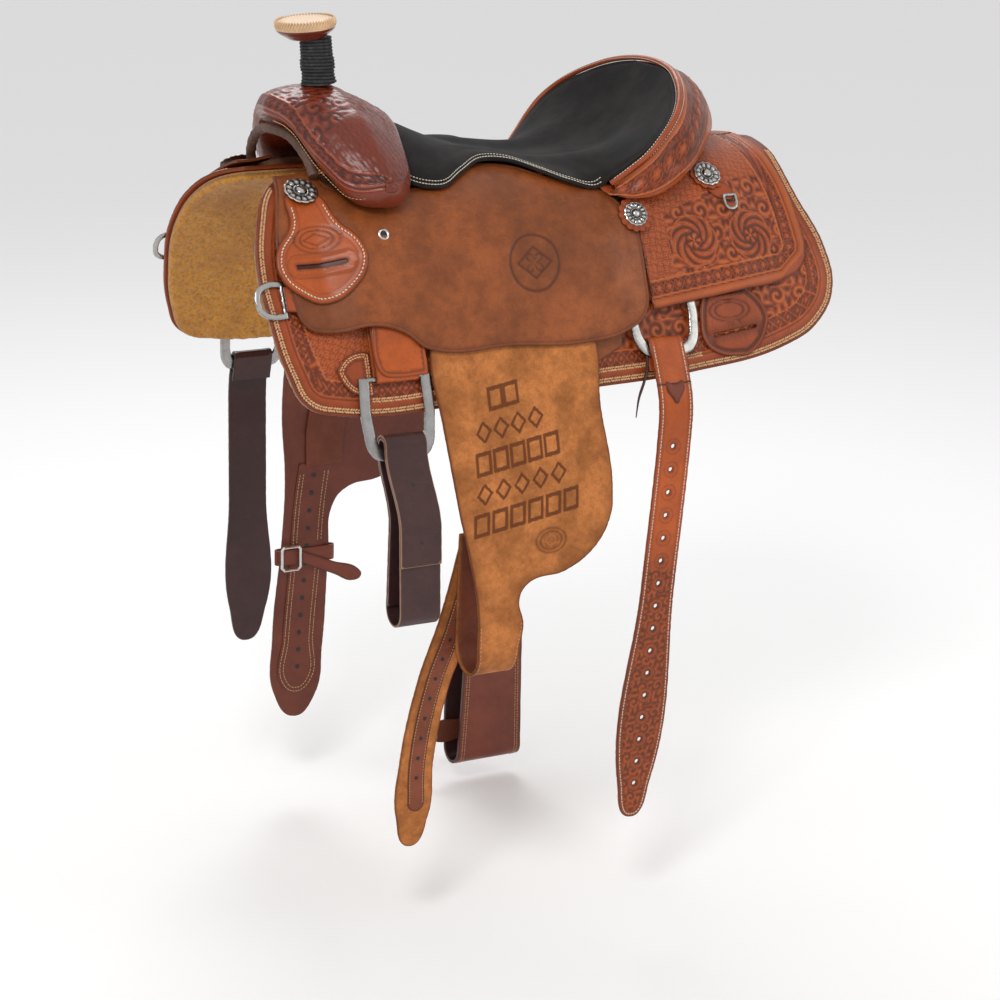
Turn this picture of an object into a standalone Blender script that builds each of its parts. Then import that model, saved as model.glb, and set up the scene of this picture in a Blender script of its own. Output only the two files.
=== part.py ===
"""A western roping saddle, hanging as it does on a saddle rack.

Metres. -X is the horn end, +X the cantle end, -Y the near (left) side, +Y the off side, +Z up.
The origin is on the middle plane, at the ridge line where the saddle's weight rests.
"""

from math import cos, pi, radians, sin

import bmesh
import bpy
import numpy as np
from mathutils import Matrix, Vector

# Driving dimensions
RIDGE_Z = 0.037  # top of the skirts at the middle plane
CHANNEL = 0.050  # arc length from the ridge to the skirts' inner edges
SKIRT_DROP = 0.373  # arc length from the ridge to the skirts' lower edge
LEATHER = 0.004
SKIRT_LEATHER = 0.005
FLEECE = 0.014
LAYER_GAP = 0.0005
FORK_HALF_WIDTH = 0.168
FORK_SHELL = 0.0035
SEAT_THICK = 0.0045
FORK_STATIONS = (0.0, 0.035, 0.060, 0.080, 0.100, 0.120, 0.140, 0.157, FORK_HALF_WIDTH)
HORN_AXIS = Vector((-0.231, 0.0, 0.139))
HORN_LEAN = radians(5.0)
HORN_NECK_R = 0.0165
HORN_CAP_R = 0.038
FENDER_TANGENT = 0.340  # arc length where the fender's plane lies along the skirt
FENDER_OFFSET = 0.0125  # fender's outer face, measured out from the skirt there
SWING_X = -0.065  # stirrup leathers' place along the bars
SWING_S = 0.200
FRONT_DEE_X = -0.2245
FRONT_DEE_S = 0.334
REAR_DEE_X = 0.160
REAR_DEE_S = 0.2665
DEE_METAL = 0.0046
STRAP_GAP = 0.0006
LATIGO_PITCH = 0.0038

MATERIALS = {
    "saddle_leather": ((0.42, 0.15, 0.055), 0.5, 0.0),
    "tooled_leather": ((0.43, 0.13, 0.045), 0.45, 0.0),
    "fork_leather": ((0.26, 0.07, 0.035), 0.4, 0.0),
    "fender_leather": ((0.50, 0.20, 0.07), 0.7, 0.0),
    "latigo_leather": ((0.07, 0.03, 0.025), 0.5, 0.0),
    "strap_leather": ((0.20, 0.055, 0.03), 0.5, 0.0),
    "suede": ((0.03, 0.025, 0.023), 0.95, 0.0),
    "fleece": ((0.55, 0.28, 0.06), 1.0, 0.0),
    "tree_wood": ((0.45, 0.30, 0.16), 0.7, 0.0),
    "steel": ((0.55, 0.55, 0.55), 0.35, 1.0),
    "silver": ((0.62, 0.62, 0.63), 0.3, 1.0),
    "rubber": ((0.02, 0.02, 0.021), 0.8, 0.0),
    "rawhide": ((0.62, 0.42, 0.22), 0.5, 0.0),
}
SIDES = {"near": -1, "off": 1}


class Profile:
    """A line in the (out, z) half-plane, from its angle below the horizontal at arc lengths along it.

    It runs straight between its bends, so layers laid over it at different heights stay parallel.
    """

    def __init__(self, start, knots, bends=None, step=0.0005):
        lengths, degrees = zip(*knots)
        s = np.arange(lengths[0], lengths[-1] + step, step)
        angle = np.radians(np.interp(s, lengths, degrees))
        middle = (angle[1:] + angle[:-1]) / 2
        out = start[0] + step * np.append(0, np.cumsum(np.cos(middle)))
        z = start[1] - step * np.append(0, np.cumsum(np.sin(middle)))
        self.bends = tuple(bends or lengths)
        self.angle = np.interp(self.bends, s, angle)
        self.line = [np.interp(self.bends, s, values) for values in (out, z)]
        self.line += [np.sin(self.angle), np.cos(self.angle)]

    def at(self, s, n=0.0):
        """(out, z) at arc length s, raised n from the line on its outer side."""
        out, z, n_out, n_z = (float(np.interp(s, self.bends, values)) for values in self.line)
        return out + n * n_out, z + n * n_z

    def slope(self, s):
        return float(np.interp(s, self.bends, self.angle))

    def over(self, side, shift=None):
        """The function that lays (x, s, n) over this profile on one side of the saddle."""

        def place(x, s, n):
            out, z = self.at(s, n)
            return Vector((x + (shift(z) if shift else 0.0), side * out, z))

        place.bends = self.bends
        return place


def turn_steps(knots, steps):
    """A wound profile's bends: each stretch where the angle changes is split into equal steps."""
    bends = [knots[0][0]]
    for (a, p), (b, q) in zip(knots, knots[1:]):
        count = steps if abs(p - q) > 20 else 1
        bends += [a + (b - a) * (i + 1) / count for i in range(count)]
    return bends


BODY_BENDS = (0.0, 0.020, 0.045, 0.070, 0.095, 0.120, 0.150, 0.190, 0.240, 0.290, 0.335, 0.380, 0.600)
BODY = Profile((0.0, RIDGE_Z), ((0.0, 3), (0.045, 10), (0.150, 57), (0.380, 75), (0.60, 78)), BODY_BENDS)

# Scene and materials


def clear_scene():
    for obj in list(bpy.data.objects):
        bpy.data.objects.remove(obj, do_unlink=True)


def new_collection(name):
    collection = bpy.data.collections.new(name)
    bpy.context.scene.collection.children.link(collection)
    return collection


def make_materials():
    for name, (colour, roughness, metallic) in MATERIALS.items():
        material = bpy.data.materials.new(name)
        material.use_nodes = True
        shader = material.node_tree.nodes["Principled BSDF"]
        shader.inputs["Base Color"].default_value = (*colour, 1.0)
        shader.inputs["Roughness"].default_value = roughness
        shader.inputs["Metallic"].default_value = metallic


clear_scene()
SADDLE = new_collection("western_saddle")
CUTTERS = new_collection("cutters")
make_materials()


# Building tools


def add_object(name, mesh, look, collection=None):
    obj = bpy.data.objects.new(name, mesh)
    (collection or SADDLE).objects.link(obj)
    if look:
        mesh.materials.clear()
        material = bpy.data.materials[look].copy()
        material.name = f"{name}_{look}"
        mesh.materials.append(material)
    return obj


def finish_mesh(name, bm, look, smooth_below=40.0):
    bmesh.ops.recalc_face_normals(bm, faces=bm.faces)
    if bm.calc_volume(signed=True) < 0:
        bmesh.ops.reverse_faces(bm, faces=bm.faces)
    mesh = bpy.data.meshes.new(name)
    bm.to_mesh(mesh)
    bm.free()
    mesh.shade_smooth()
    mesh.set_sharp_from_angle(angle=radians(smooth_below))
    return add_object(name, mesh, look)


def bezier(curve, points):
    """A closed outline. A point with a third value is a corner; the others are rounded through."""
    spline = curve.splines.new("BEZIER")
    spline.bezier_points.add(len(points) - 1)
    spline.use_cyclic_u = True
    for knot, (u, v, *corner) in zip(spline.bezier_points, points):
        knot.co = (u, v, 0)
        knot.handle_left_type = knot.handle_right_type = "VECTOR" if corner else "AUTO"


def flat_mesh(name, outlines, rounds):
    """The filled outlines as a welded mesh, from z = 0 to z = 1."""
    curve = bpy.data.curves.new(name, "CURVE")
    curve.dimensions = "2D"
    curve.fill_mode = "BOTH"
    curve.extrude = 0.5
    curve.resolution_u = rounds
    for points in outlines:
        bezier(curve, points)
    guide = bpy.data.objects.new(name, curve)
    SADDLE.objects.link(guide)
    bpy.context.view_layer.update()
    mesh = bpy.data.meshes.new_from_object(guide.evaluated_get(bpy.context.evaluated_depsgraph_get()))
    bm = bmesh.new()
    bm.from_mesh(mesh)
    bmesh.ops.remove_doubles(bm, verts=bm.verts, dist=1e-5)
    bmesh.ops.translate(bm, verts=bm.verts, vec=(0, 0, 0.5))
    bpy.data.objects.remove(guide)
    bpy.data.curves.remove(curve)
    bpy.data.meshes.remove(mesh)
    return bm


def cut_lines(bm, positions, axis):
    """Splits the faces along lines of constant x (axis 0) or constant length (axis 1)."""
    normal = Vector((0, 0, 0))
    normal[axis] = 1
    for position in positions:
        geometry = bm.verts[:] + bm.edges[:] + bm.faces[:]
        bmesh.ops.bisect_plane(bm, geom=geometry, dist=1e-6, plane_co=normal * position, plane_no=normal)


def value(height, x, s):
    return height(x, s) if callable(height) else height


def plate(name, look, outlines, place, low, high, bends=(), bends_x=(), rounds=3):
    """Leather or metal cut to flat outlines of (x, s) and laid between two heights over a surface."""
    bm = flat_mesh(name, outlines, rounds)
    cut_lines(bm, (*getattr(place, "bends", ()), *bends), 1)
    cut_lines(bm, bends_x, 0)
    for vertex in bm.verts:
        x, s, share = vertex.co
        n = value(low, x, s) * (1 - share) + value(high, x, s) * share
        vertex.co = place(x, s, n)
    return finish_mesh(name, bm, look)


def loft(name, look, rings):
    """A closed body through rings of points, with its two ends capped."""
    bm = bmesh.new()
    rows = [[bm.verts.new(point) for point in ring] for ring in rings]
    for a, b in zip(rows, rows[1:]):
        for i in range(len(a)):
            j = (i + 1) % len(a)
            bm.faces.new((a[i], a[j], b[j], b[i]))
    bm.faces.new(rows[0])
    bm.faces.new(rows[-1])
    return finish_mesh(name, bm, look)


def turned(name, look, profile, frame, steps=20):
    """A body turned about its own Z from (radius, height) points, outer side from top to bottom."""
    mesh = bpy.data.meshes.new(name)
    points = [(radius, 0, height) for radius, height in profile]
    mesh.from_pydata(points, [(i, i + 1) for i in range(len(points) - 1)], [])
    obj = add_object(name, mesh, look)
    obj.matrix_world = frame
    screw = obj.modifiers.new("turn", "SCREW")
    screw.steps = screw.render_steps = steps
    screw.use_merge_vertices = True
    screw.merge_threshold = 0.00001
    screw.use_smooth_shade = True
    return obj


def tube(name, look, points, radius, sides=2):
    """A round bar through points, with flat capped ends."""
    curve = bpy.data.curves.new(name, "CURVE")
    curve.dimensions = "3D"
    curve.bevel_depth = radius
    curve.bevel_resolution = sides
    curve.use_fill_caps = True
    spline = curve.splines.new("POLY")
    spline.points.add(len(points) - 1)
    for knot, point in zip(spline.points, points):
        knot.co = (*point, 1)
    return add_object(name, curve, look)


def baked(obj):
    """The object as a plain welded mesh."""
    bpy.context.view_layer.update()
    mesh = bpy.data.meshes.new_from_object(obj.evaluated_get(bpy.context.evaluated_depsgraph_get()))
    bm = bmesh.new()
    bm.from_mesh(mesh)
    bmesh.ops.remove_doubles(bm, verts=bm.verts, dist=1e-6)
    bm.to_mesh(mesh)
    bm.free()
    made = bpy.data.objects.new(obj.name, mesh)
    made.matrix_world = obj.matrix_world
    obj.users_collection[0].objects.link(made)
    name = obj.name
    bpy.data.objects.remove(obj)
    made.name = name
    return made


def cut(obj, cutter):
    for collection in cutter.users_collection:
        collection.objects.unlink(cutter)
    CUTTERS.objects.link(cutter)
    cutter.hide_render = True
    cutter.display_type = "WIRE"
    boolean = obj.modifiers.new("cut", "BOOLEAN")
    boolean.operation = "DIFFERENCE"
    boolean.object = cutter


def surface_frame(place, x, s, n, side):
    """A frame on a side's surface: Z along its outward normal and X forward to back."""
    origin = place(x, s, n)
    normal = (place(x, s, n + 0.01) - origin).normalized()
    along = Vector((1, 0, 0))
    across = normal.cross(along)
    return Matrix.Translation(origin) @ Matrix((along, across, normal)).transposed().to_4x4()


def arch(points, steps):
    """Points evenly read from a smooth line through the ones given."""
    lengths = np.cumsum([0] + [(Vector(b) - Vector(a)).length for a, b in zip(points, points[1:])])
    wanted = np.linspace(0, lengths[-1], steps)
    table = np.array(points, float)
    slopes = np.gradient(table, lengths, axis=0)
    found = []
    for w in wanted:
        i = min(int(np.searchsorted(lengths, w, side="right")) - 1, len(points) - 2)
        span = lengths[i + 1] - lengths[i]
        t = (w - lengths[i]) / span
        blend = (2 * t**3 - 3 * t**2 + 1, t**3 - 2 * t**2 + t, 3 * t**2 - 2 * t**3, t**3 - t**2)
        parts = (table[i], slopes[i] * span, table[i + 1], slopes[i + 1] * span)
        found.append(Vector(sum(b * p for b, p in zip(blend, parts))))
    return found


# Skirts, fleece, bars and jockeys

SKIRT_EDGE = (
    (-0.359, 0.119),
    (-0.375, 0.180),
    (-0.372, 0.252),
    (-0.358, 0.321),
    (-0.340, 0.358),
    (-0.300, SKIRT_DROP),
    (-0.100, 0.375),
    (0.059, SKIRT_DROP),
    (0.200, 0.367),
    (0.349, 0.344),
    (0.400, 0.318),
    (0.429, 0.275),
    (0.428, 0.220),
    (0.400, 0.128),
)
JOCKEY_X = (-0.300, -0.255, 0.090, 0.130)
REAR_X = (0.285, 0.345)
BAR_X = (-0.255, -0.130, -0.080, 0.150, 0.210)


def plane_lift(s):
    """How far the fender's flat plane stands off the rounded skirt."""
    return 0.68 * (min(s, FENDER_TANGENT) - FENDER_TANGENT) ** 2


def bar_high(x, s):
    """Top of a tree bar, thinned where the seat is lowest and toward both its tips."""
    return float(np.interp(x, (-0.283, *BAR_X, 0.300), (0.0055, 0.0090, 0.0095, 0.0040, 0.0040, 0.0085, 0.0060)))


MIDDLE_LOW = ((0.060, 0.0108), (0.095, 0.0110), (0.120, 0.0145), (0.150, 0.0203))
MIDDLE_LOW += tuple((s, plane_lift(s) + 0.0140) for s in (0.190, 0.240, 0.290, 0.335))


def jockey_low(x, s):
    """Underside of the seat jockey: over the bars and fender in the middle, closer to the skirt at its ends."""
    middle = float(np.interp(s, *zip(*MIDDLE_LOW)))
    rear = float(np.interp(s, (0.120, 0.150), (0.0112, 0.0152)))
    return float(np.interp(x, JOCKEY_X, (0.0052, middle, middle, rear)))


def jockey_high(x, s):
    return jockey_low(x, s) + LEATHER


def rear_low(x, s):
    """Underside of the rear jockey: over the bars and the rear rigging, then down to the skirt."""
    return float(np.interp(x, REAR_X, (0.0108, 0.0008)))


def make_side_panels(tag, side):
    place = BODY.over(side)
    half_gap = 0.0012
    skirt = ((-0.312, CHANNEL, 1), (-0.338, 0.078), *SKIRT_EDGE)
    skirt += ((0.402, 0.060), (0.408, half_gap, 1), (0.300, half_gap, 1), (0.285, CHANNEL, 1))
    skirt += ((0.210, CHANNEL, 1), (0.170, 0.083, 1), (-0.080, 0.083, 1), (-0.130, CHANNEL, 1))
    plate(f"skirt_{tag}", "tooled_leather", [skirt], place, -SKIRT_LEATHER, 0.0)
    inset = 0.004
    middle = Vector((0.02, 0.18))
    wool = []
    for x, s, *corner in skirt:
        inward = (middle - Vector((x, s))).normalized() * inset
        wool.append((x + inward.x, s + inward.y, *corner))
    low = -SKIRT_LEATHER - LAYER_GAP - FLEECE
    plate(f"fleece_{tag}", "fleece", [wool], place, low, -SKIRT_LEATHER - LAYER_GAP)
    bar = ((-0.281, 0.058, 1), (-0.283, 0.110), (-0.270, 0.148), (-0.150, 0.140), (0.060, 0.138))
    bar += ((0.180, 0.150), (0.280, 0.140), (0.300, 0.100), (0.280, 0.058, 1))
    bar += ((0.213, 0.058, 1), (0.172, 0.0855, 1), (-0.078, 0.0855, 1), (-0.125, 0.058, 1))
    plate(f"bar_{tag}", "tree_wood", [bar], place, LAYER_GAP, bar_high, bends_x=BAR_X)
    rear = ((0.1450, 0.2840, 1), (0.283, 0.269), (0.350, 0.260), (0.385, 0.242))
    rear += ((0.395, 0.215), (0.392, 0.170), (0.384, 0.110), (0.381, 0.060), (0.384, half_gap, 1))
    rear += ((0.268, half_gap, 1), (0.258, 0.058, 1), (0.235, 0.084, 1), (0.190, 0.108, 1), (0.1450, 0.120, 1))

    def top(x, s):
        return rear_low(x, s) + LEATHER

    plate(f"rear_jockey_{tag}", "tooled_leather", [rear], place, rear_low, top, bends_x=REAR_X)


def make_seat_jockey(tag, side):
    outline = (
        (-0.323, 0.080, 1),
        (-0.341, 0.125),
        (-0.349, 0.165),
        (-0.342, 0.230),
        (-0.330, 0.264),
        (-0.300, 0.274),
        (-0.240, 0.273),
        (-0.208, 0.284),
        (-0.180, 0.305),
        (-0.060, 0.312),
        (0.040, 0.317),
        (0.105, 0.306),
        (0.132, 0.287),
        (0.140, 0.240),
        (0.143, 0.170, 1),
        (0.118, 0.138),
        (0.095, 0.122),
        (0.060, 0.112),
        (0.028, 0.094),
        (0.000, 0.078),
        (-0.045, 0.068),
        (-0.080, 0.078),
        (-0.110, 0.098),
        (-0.150, 0.104),
        (-0.200, 0.104),
        (-0.262, 0.100),
        (-0.286, 0.082),
    )
    place = BODY.over(side)
    name = f"seat_jockey_{tag}"
    plate(name, "saddle_leather", [outline], place, jockey_low, jockey_high, bends_x=JOCKEY_X, rounds=2)


# Fork, horn and gullet


def along(y, low_high):
    """A value read along the fork's half width."""
    return float(np.interp(abs(y), *zip(*low_high)))


FORK_FRONT = ((0, -0.306), (0.050, -0.294), (0.100, -0.279), (0.140, -0.258), (0.168, -0.222))
FORK_BACK = ((0, -0.134), (0.050, -0.146), (0.100, -0.157), (0.140, -0.168), (0.168, -0.194))
FORK_CROWN = ((0, 0.139), (0.050, 0.132), (0.100, 0.112), (0.140, 0.079), (0.168, 0.045))
FORK_UNDER = ((0, 0.090), (0.035, 0.086), (0.055, 0.077), (0.075, 0.057), (0.090, 0.043), (0.100, 0.035))
FORK_UNDER += ((0.119, 0.0195), (0.130, 0.0105), (0.138, 0.0045), (0.150, 0.006), (0.168, 0.024))
FORK_DROOP = ((0, 0.024), (0.050, 0.023), (0.100, 0.016), (0.140, 0.006), (0.168, 0.0))


def fork_ring(y, inset=0.0, count=16):
    """The fork's outline in the plane at y, as a rounded form between its front, back, arch and crown."""
    front, back = along(y, FORK_FRONT) + inset, along(y, FORK_BACK) - inset
    crown, under = along(y, FORK_CROWN) - inset, along(y, FORK_UNDER) + inset
    middle = Vector(((front + back) / 2, y, (crown + under) / 2))
    half_x, half_z = (back - front) / 2, (crown - under) / 2
    ring = []
    for i in range(count):
        turn = 2 * pi * i / count
        across = np.sign(cos(turn)) * abs(cos(turn)) ** 0.75
        up = np.sign(sin(turn)) * abs(sin(turn)) ** 0.75
        fall = 1 - 0.50 * max(across, 0) if up > 0 else 1
        droop = along(y, FORK_DROOP) * max(across, 0)
        ring.append(middle + Vector((across * half_x, 0, up * half_z * fall - droop)))
    return ring


def fork_stations(inset=0.0):
    half = [y - inset * y / FORK_HALF_WIDTH for y in FORK_STATIONS]
    return [-y for y in reversed(half[1:])] + half


def shrunk(ring, share, across):
    """A ring drawn in toward its own middle, and toward the saddle's middle plane."""
    middle = sum(ring, Vector()) / len(ring)
    return [Vector((p.x, p.y * across, p.z)) for p in (middle + (q - middle) * share for q in ring)]


def make_fork():
    room = [fork_ring(y, FORK_SHELL, 12) for y in fork_stations(2 * FORK_SHELL)]
    loft("fork", "tree_wood", [shrunk(ring, 0.96, 0.998) for ring in room])
    cover = loft("swell_cover", "fork_leather", [fork_ring(y, 0.0) for y in fork_stations()])
    cut(cover, loft("fork_room", None, room))
    mouth = []
    for y in (-0.120, -0.090, -0.060, 0.0, 0.060, 0.090, 0.120):
        front, back = along(y, FORK_FRONT) + 0.030, along(y, FORK_BACK) - 0.030
        low, high = along(y, FORK_UNDER) - 0.020, along(y, FORK_UNDER) + 0.006
        mouth.append([Vector((front, y, low)), Vector((back, y, low)), Vector((back, y, high)), Vector((front, y, high))])
    cut(cover, loft("fork_mouth", None, mouth))


def make_gullet_rim():
    half = ((-0.292, 0, 0.084), (-0.293, 0.035, 0.080), (-0.292, 0.060, 0.067), (-0.289, 0.077, 0.050))
    half += ((-0.285, 0.085, 0.040),)
    points = [(x, -y, z) for x, y, z in reversed(half[1:])] + list(half)
    tube("gullet_rim", "strap_leather", arch(points, 17), 0.0055)


def horn_frame():
    return Matrix.Translation(HORN_AXIS) @ Matrix.Rotation(-HORN_LEAN, 4, "Y")


def make_horn():
    neck_top = 0.058
    wrap = 0.0035
    frame = horn_frame()
    turned("horn", "tree_wood", [(0, neck_top), (HORN_NECK_R - 0.002, neck_top), (HORN_NECK_R, 0.004), (0, 0.004)], frame)
    sleeve = []
    turns = 6
    for i in range(turns):
        height = neck_top - 0.009 * i - 0.0045
        radius = HORN_NECK_R + wrap * (0.75 + 0.35 * i / turns)
        sleeve += [(radius, height + 0.0030), (radius, height - 0.0030)]
    inner = [(HORN_NECK_R + 0.0004, sleeve[-1][1]), (HORN_NECK_R - 0.0014, sleeve[0][1])]
    turned("horn_wrap", "rubber", sleeve + inner + [sleeve[0]], frame, 16)
    shift = Matrix.Translation((-0.012, 0, neck_top + 0.0004))
    cap = [(0, 0.024), (HORN_CAP_R - 0.004, 0.024), (HORN_CAP_R, 0.020), (HORN_CAP_R, 0.012)]
    cap += [(HORN_CAP_R - 0.003, 0.009), (0.027, 0.002), (0.022, 0.0), (0, 0.0)]
    turned("horn_cap", "rawhide", cap, frame @ shift, 24)


# Cantle and seat

RIM = (
    (0.250, 0.000, 0.143),
    (0.248, 0.045, 0.140),
    (0.236, 0.088, 0.131),
    (0.220, 0.124, 0.116),
    (0.198, 0.153, 0.096),
    (0.175, 0.165, 0.074),
    (0.152, 0.164, 0.049),
    (0.130, 0.153, 0.028),
)
ROLL = (
    (0.316, 0.000, 0.113),
    (0.303, 0.050, 0.101),
    (0.279, 0.100, 0.076),
    (0.250, 0.131, 0.047),
    (0.209, 0.156, 0.026),
    (0.172, 0.163, 0.013),
    (0.142, 0.156, 0.010),
)
LOWER = (
    (0.334, 0.000, 0.066),
    (0.313, 0.050, 0.060),
    (0.270, 0.100, 0.040),
    (0.229, 0.130, 0.019),
    (0.184, 0.156, 0.004),
    (0.154, 0.160, -0.002),
    (0.132, 0.152, 0.002),
)
SEAT_LINE = ((-0.128, 0.084), (-0.104, 0.072), (-0.050, 0.052), (-0.003, 0.040), (0.060, 0.032), (0.115, 0.032))
SEAT_LINE += ((0.160, 0.044), (0.197, 0.071), (0.222, 0.104), (0.240, 0.132))
SEAT_EDGE = ((-0.141, 0.069), (-0.149, 0.103), (-0.125, 0.116), (-0.073, 0.092), (-0.029, 0.074))
SEAT_EDGE += ((0.010, 0.092), (0.060, 0.123), (0.102, 0.131))
RIM_STATIONS = 11


def both_sides(line, count):
    """A line from the near end over the middle to the off end."""
    points = arch(line, count)
    return [Vector((p.x, -p.y, p.z)) for p in reversed(points[1:])] + points


def leather_top(x, out):
    """Height of the jockeys' upper face behind the seat, at a distance out from the middle plane."""
    tops = []
    for s in np.linspace(0.0, 0.190, 39):
        tops.append(BODY.at(s, (rear_low(x, s) if x > 0.144 else jockey_low(x, s)) + LEATHER))
    return float(np.interp(abs(out), *zip(*sorted(tops))))


def make_cantle():
    rim = both_sides(RIM, RIM_STATIONS)
    roll = both_sides(ROLL, RIM_STATIONS)
    lower = both_sides(LOWER, RIM_STATIONS)
    wall = 0.0045
    back_rings, board_rings = [], []
    for i, (top, edge, under) in enumerate(zip(rim, roll, lower)):
        crest = top + Vector((0.004, 0, 0.0005))
        foot = Vector((under.x - 0.016, under.y * 0.84, 0))
        foot.z = leather_top(foot.x, foot.y) + 0.0018
        out = (edge - top).normalized()
        run = rim[min(i + 1, len(rim) - 1)] - rim[max(i - 1, 0)]
        normal = out.cross(run).normalized()
        if normal.z < 0:
            normal.negate()
        centre = (crest + edge + under + foot) / 4
        middle = (crest + edge) / 2 + normal * 0.005

        def drawn(point, amount):
            """The point moved in from the leather's face toward the middle of the section."""
            flat = centre - point
            return point + flat.normalized() * amount

        ring = [crest, middle, edge, under, foot]
        inside = [foot + Vector((-wall * 1.2, 0, 0.0002)), drawn(under, wall * 1.3), drawn(edge, wall * 1.4)]
        inside += [middle - normal * wall, crest - normal * wall + out * 0.001]
        back_rings.append(ring + inside)
        deep = wall + 0.0030
        low = Vector((crest.x - 0.020 * (1 - min(1, abs(top.y) / 0.16)), crest.y * 0.90, crest.z - 0.045))
        board = [crest - normal * deep + out * 0.005, middle - normal * deep, drawn(edge, deep * 1.5)]
        board += [drawn(under, deep * 1.7), foot + Vector((-0.012, 0, 0.0040)), low]
        board_rings.append(board)
    loft("cantle_back", "tooled_leather", back_rings)
    loft("cantle", "tree_wood", board_rings[3:-3])
    binding = [p + Vector((-0.0010, 0, 0.0040)) for p in rim]
    tube("cantle_binding", "tooled_leather", binding, 0.0034)


def seat_rows():
    """The seat's middle points and near edge points, row by row, from the fork up to the cantle's rim."""
    edge_s = arch([(x, 0, s) for x, s in SEAT_EDGE], 9)
    edges = []
    for point in edge_s:
        edges.append(BODY.over(1)(point.x, point.z, jockey_high(point.x, point.z) + 0.0055))
    rim = arch(RIM, 9)
    edges += [p + Vector((-0.006, -0.006 * min(1, p.y / 0.05), 0.001)) for p in reversed(rim[1:])]
    middles = arch([(x, 0, z) for x, z in SEAT_LINE], len(edges))
    return middles, edges


JOCKEY_INNER = ((-0.150, 0.108), (-0.110, 0.100), (-0.080, 0.074), (-0.045, 0.064), (0.000, 0.074))
JOCKEY_INNER += ((0.028, 0.090), (0.060, 0.108), (0.095, 0.118), (0.118, 0.134))


def under_seat(x, out):
    """Height of the leather or the tree bar below the seat, at a distance out from the middle plane."""
    inner = float(np.interp(x, *zip(*JOCKEY_INNER)))
    tops = []
    for s in np.linspace(0.058, 0.150, 47):
        tops.append(BODY.at(s, jockey_high(x, s) if s > inner else max(bar_high(x, s), 0.004)))
    return float(np.interp(out, *zip(*sorted(tops))))


def seat_point(middle, edge, share):
    """A point across the seat's upper face: share 0 is the middle line and 1 the edge."""
    y = edge.y * (0.55 * share + 0.45 * sin(share * pi / 2))
    part = y / edge.y
    x = middle.x + (edge.x - middle.x) * part**2
    z = middle.z + (edge.z - middle.z) * part**2
    if 0.068 < y and x < 0.150:
        z = max(z, under_seat(x, y) + SEAT_THICK + 0.0076)
    return Vector((x, y, z))


def seat_sheet(name, look, first, last, high, low, widest=1.0):
    """A sheet in the seat's shape between two depths below it, no wider than a limit."""
    middles, edges = seat_rows()
    shares = [-1, -0.88, -0.76, -0.62, -0.4, 0, 0.4, 0.62, 0.76, 0.88, 1]

    def point(i, share):
        reach = min(1.0, widest / edges[i].y) if edges[i].y > 0.02 else 1.0
        place = seat_point(middles[i], edges[i], abs(share) * reach)
        return Vector((place.x, place.y * np.sign(share), place.z))

    def normal(i, share):
        a = point(min(i + 1, len(edges) - 1), share) - point(max(i - 1, 0), share)
        b = point(i, min(share + 0.1, 1)) - point(i, max(share - 0.1, -1))
        n = a.cross(b).normalized()
        return n if n.z > 0 or n.x < 0 else -n

    rings = []
    for i in range(first, last):
        top = [point(i, s) - normal(i, s) * high for s in shares]
        bottom = [point(i, s) - normal(i, s) * low for s in reversed(shares)]
        rings.append(top + bottom)
    loft(name, look, rings)


def make_seat():
    rows = len(seat_rows()[0])
    seat_sheet("seat_cover", "suede", 0, rows, 0.0, SEAT_THICK)
    seat_sheet("ground_seat", "saddle_leather", 1, rows - 6, SEAT_THICK + 0.0045, SEAT_THICK + 0.0075, 0.050)


# Dees, rigging and conchos


def dee_outlines(width, drop, band, bar, flat=0.2):
    """A dee: a straight bar at length 0 and a hoop below it, flat over a share of its width."""

    def outline(half, top, bottom):
        return (
            (-half, top, 1),
            (-half, bottom - half * 0.85),
            (-half * (0.62 + flat / 3), bottom - half * (0.22 - flat / 5)),
            (-half * flat, bottom),
            (half * flat, bottom),
            (half * (0.62 + flat / 3), bottom - half * (0.22 - flat / 5)),
            (half, bottom - half * 0.85),
            (half, top, 1),
        )

    return [outline(width / 2, -bar, drop), outline(width / 2 - band, bar, drop - band)]


def dee_place(side, x, s, n, slope):
    """A flat piece hinged at its bar and leaning at slope below the horizontal."""
    out, z = BODY.at(s, n)

    def place(u, v, h):
        return Vector((x + u, side * (out + v * cos(slope) + h * sin(slope)), z - v * sin(slope) + h * cos(slope)))

    return place


FRONT_DEE_N = 0.0062
FRONT_DEE_SLOPE = radians(75)
FRONT_BAND = 0.0135
REAR_DEE_N = 0.0056
REAR_DEE_SLOPE = radians(64)
REAR_BAND = 0.0120
BREAST_DEE_X = -0.352
BREAST_DEE_S = 0.228
BREAST_DEE_N = 0.0036
STRING_DEE_X = 0.289
STRING_DEE_S = 0.146
STRING_DEE_N = 0.0185
STRING_DEE_SLOPE = radians(60)


def leather_loop(name, look, x_low, x_high, s_low, s_bar, n_low, n_high, wall, place):
    """Leather folded round a dee's bar: a U in the (s, n) plane, carried from x_low to x_high."""
    radius = (n_high - n_low) / 2
    middle = (n_high + n_low) / 2
    fold = [pi / 2 - pi * i / 6 for i in range(7)]
    outer = [(s_bar + radius * cos(a), middle + radius * sin(a)) for a in fold]
    inner = [(s_bar + (radius - wall) * cos(a), middle + (radius - wall) * sin(a)) for a in reversed(fold)]
    way = [s for s in place.bends if s_low < s < s_bar - 0.004]
    section = [(s_low, n_high), *((s, n_high) for s in way), *outer]
    section += [*((s, n_low) for s in reversed(way)), (s_low, n_low), (s_low, n_low + wall)]
    section += [*((s, n_low + wall) for s in way), *inner, *((s, n_high - wall) for s in reversed(way))]
    section += [(s_low, n_high - wall)]
    rings = [[place(x, s, n) for s, n in section] for x in (x_low, x_high)]
    loft(name, look, rings)


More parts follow.
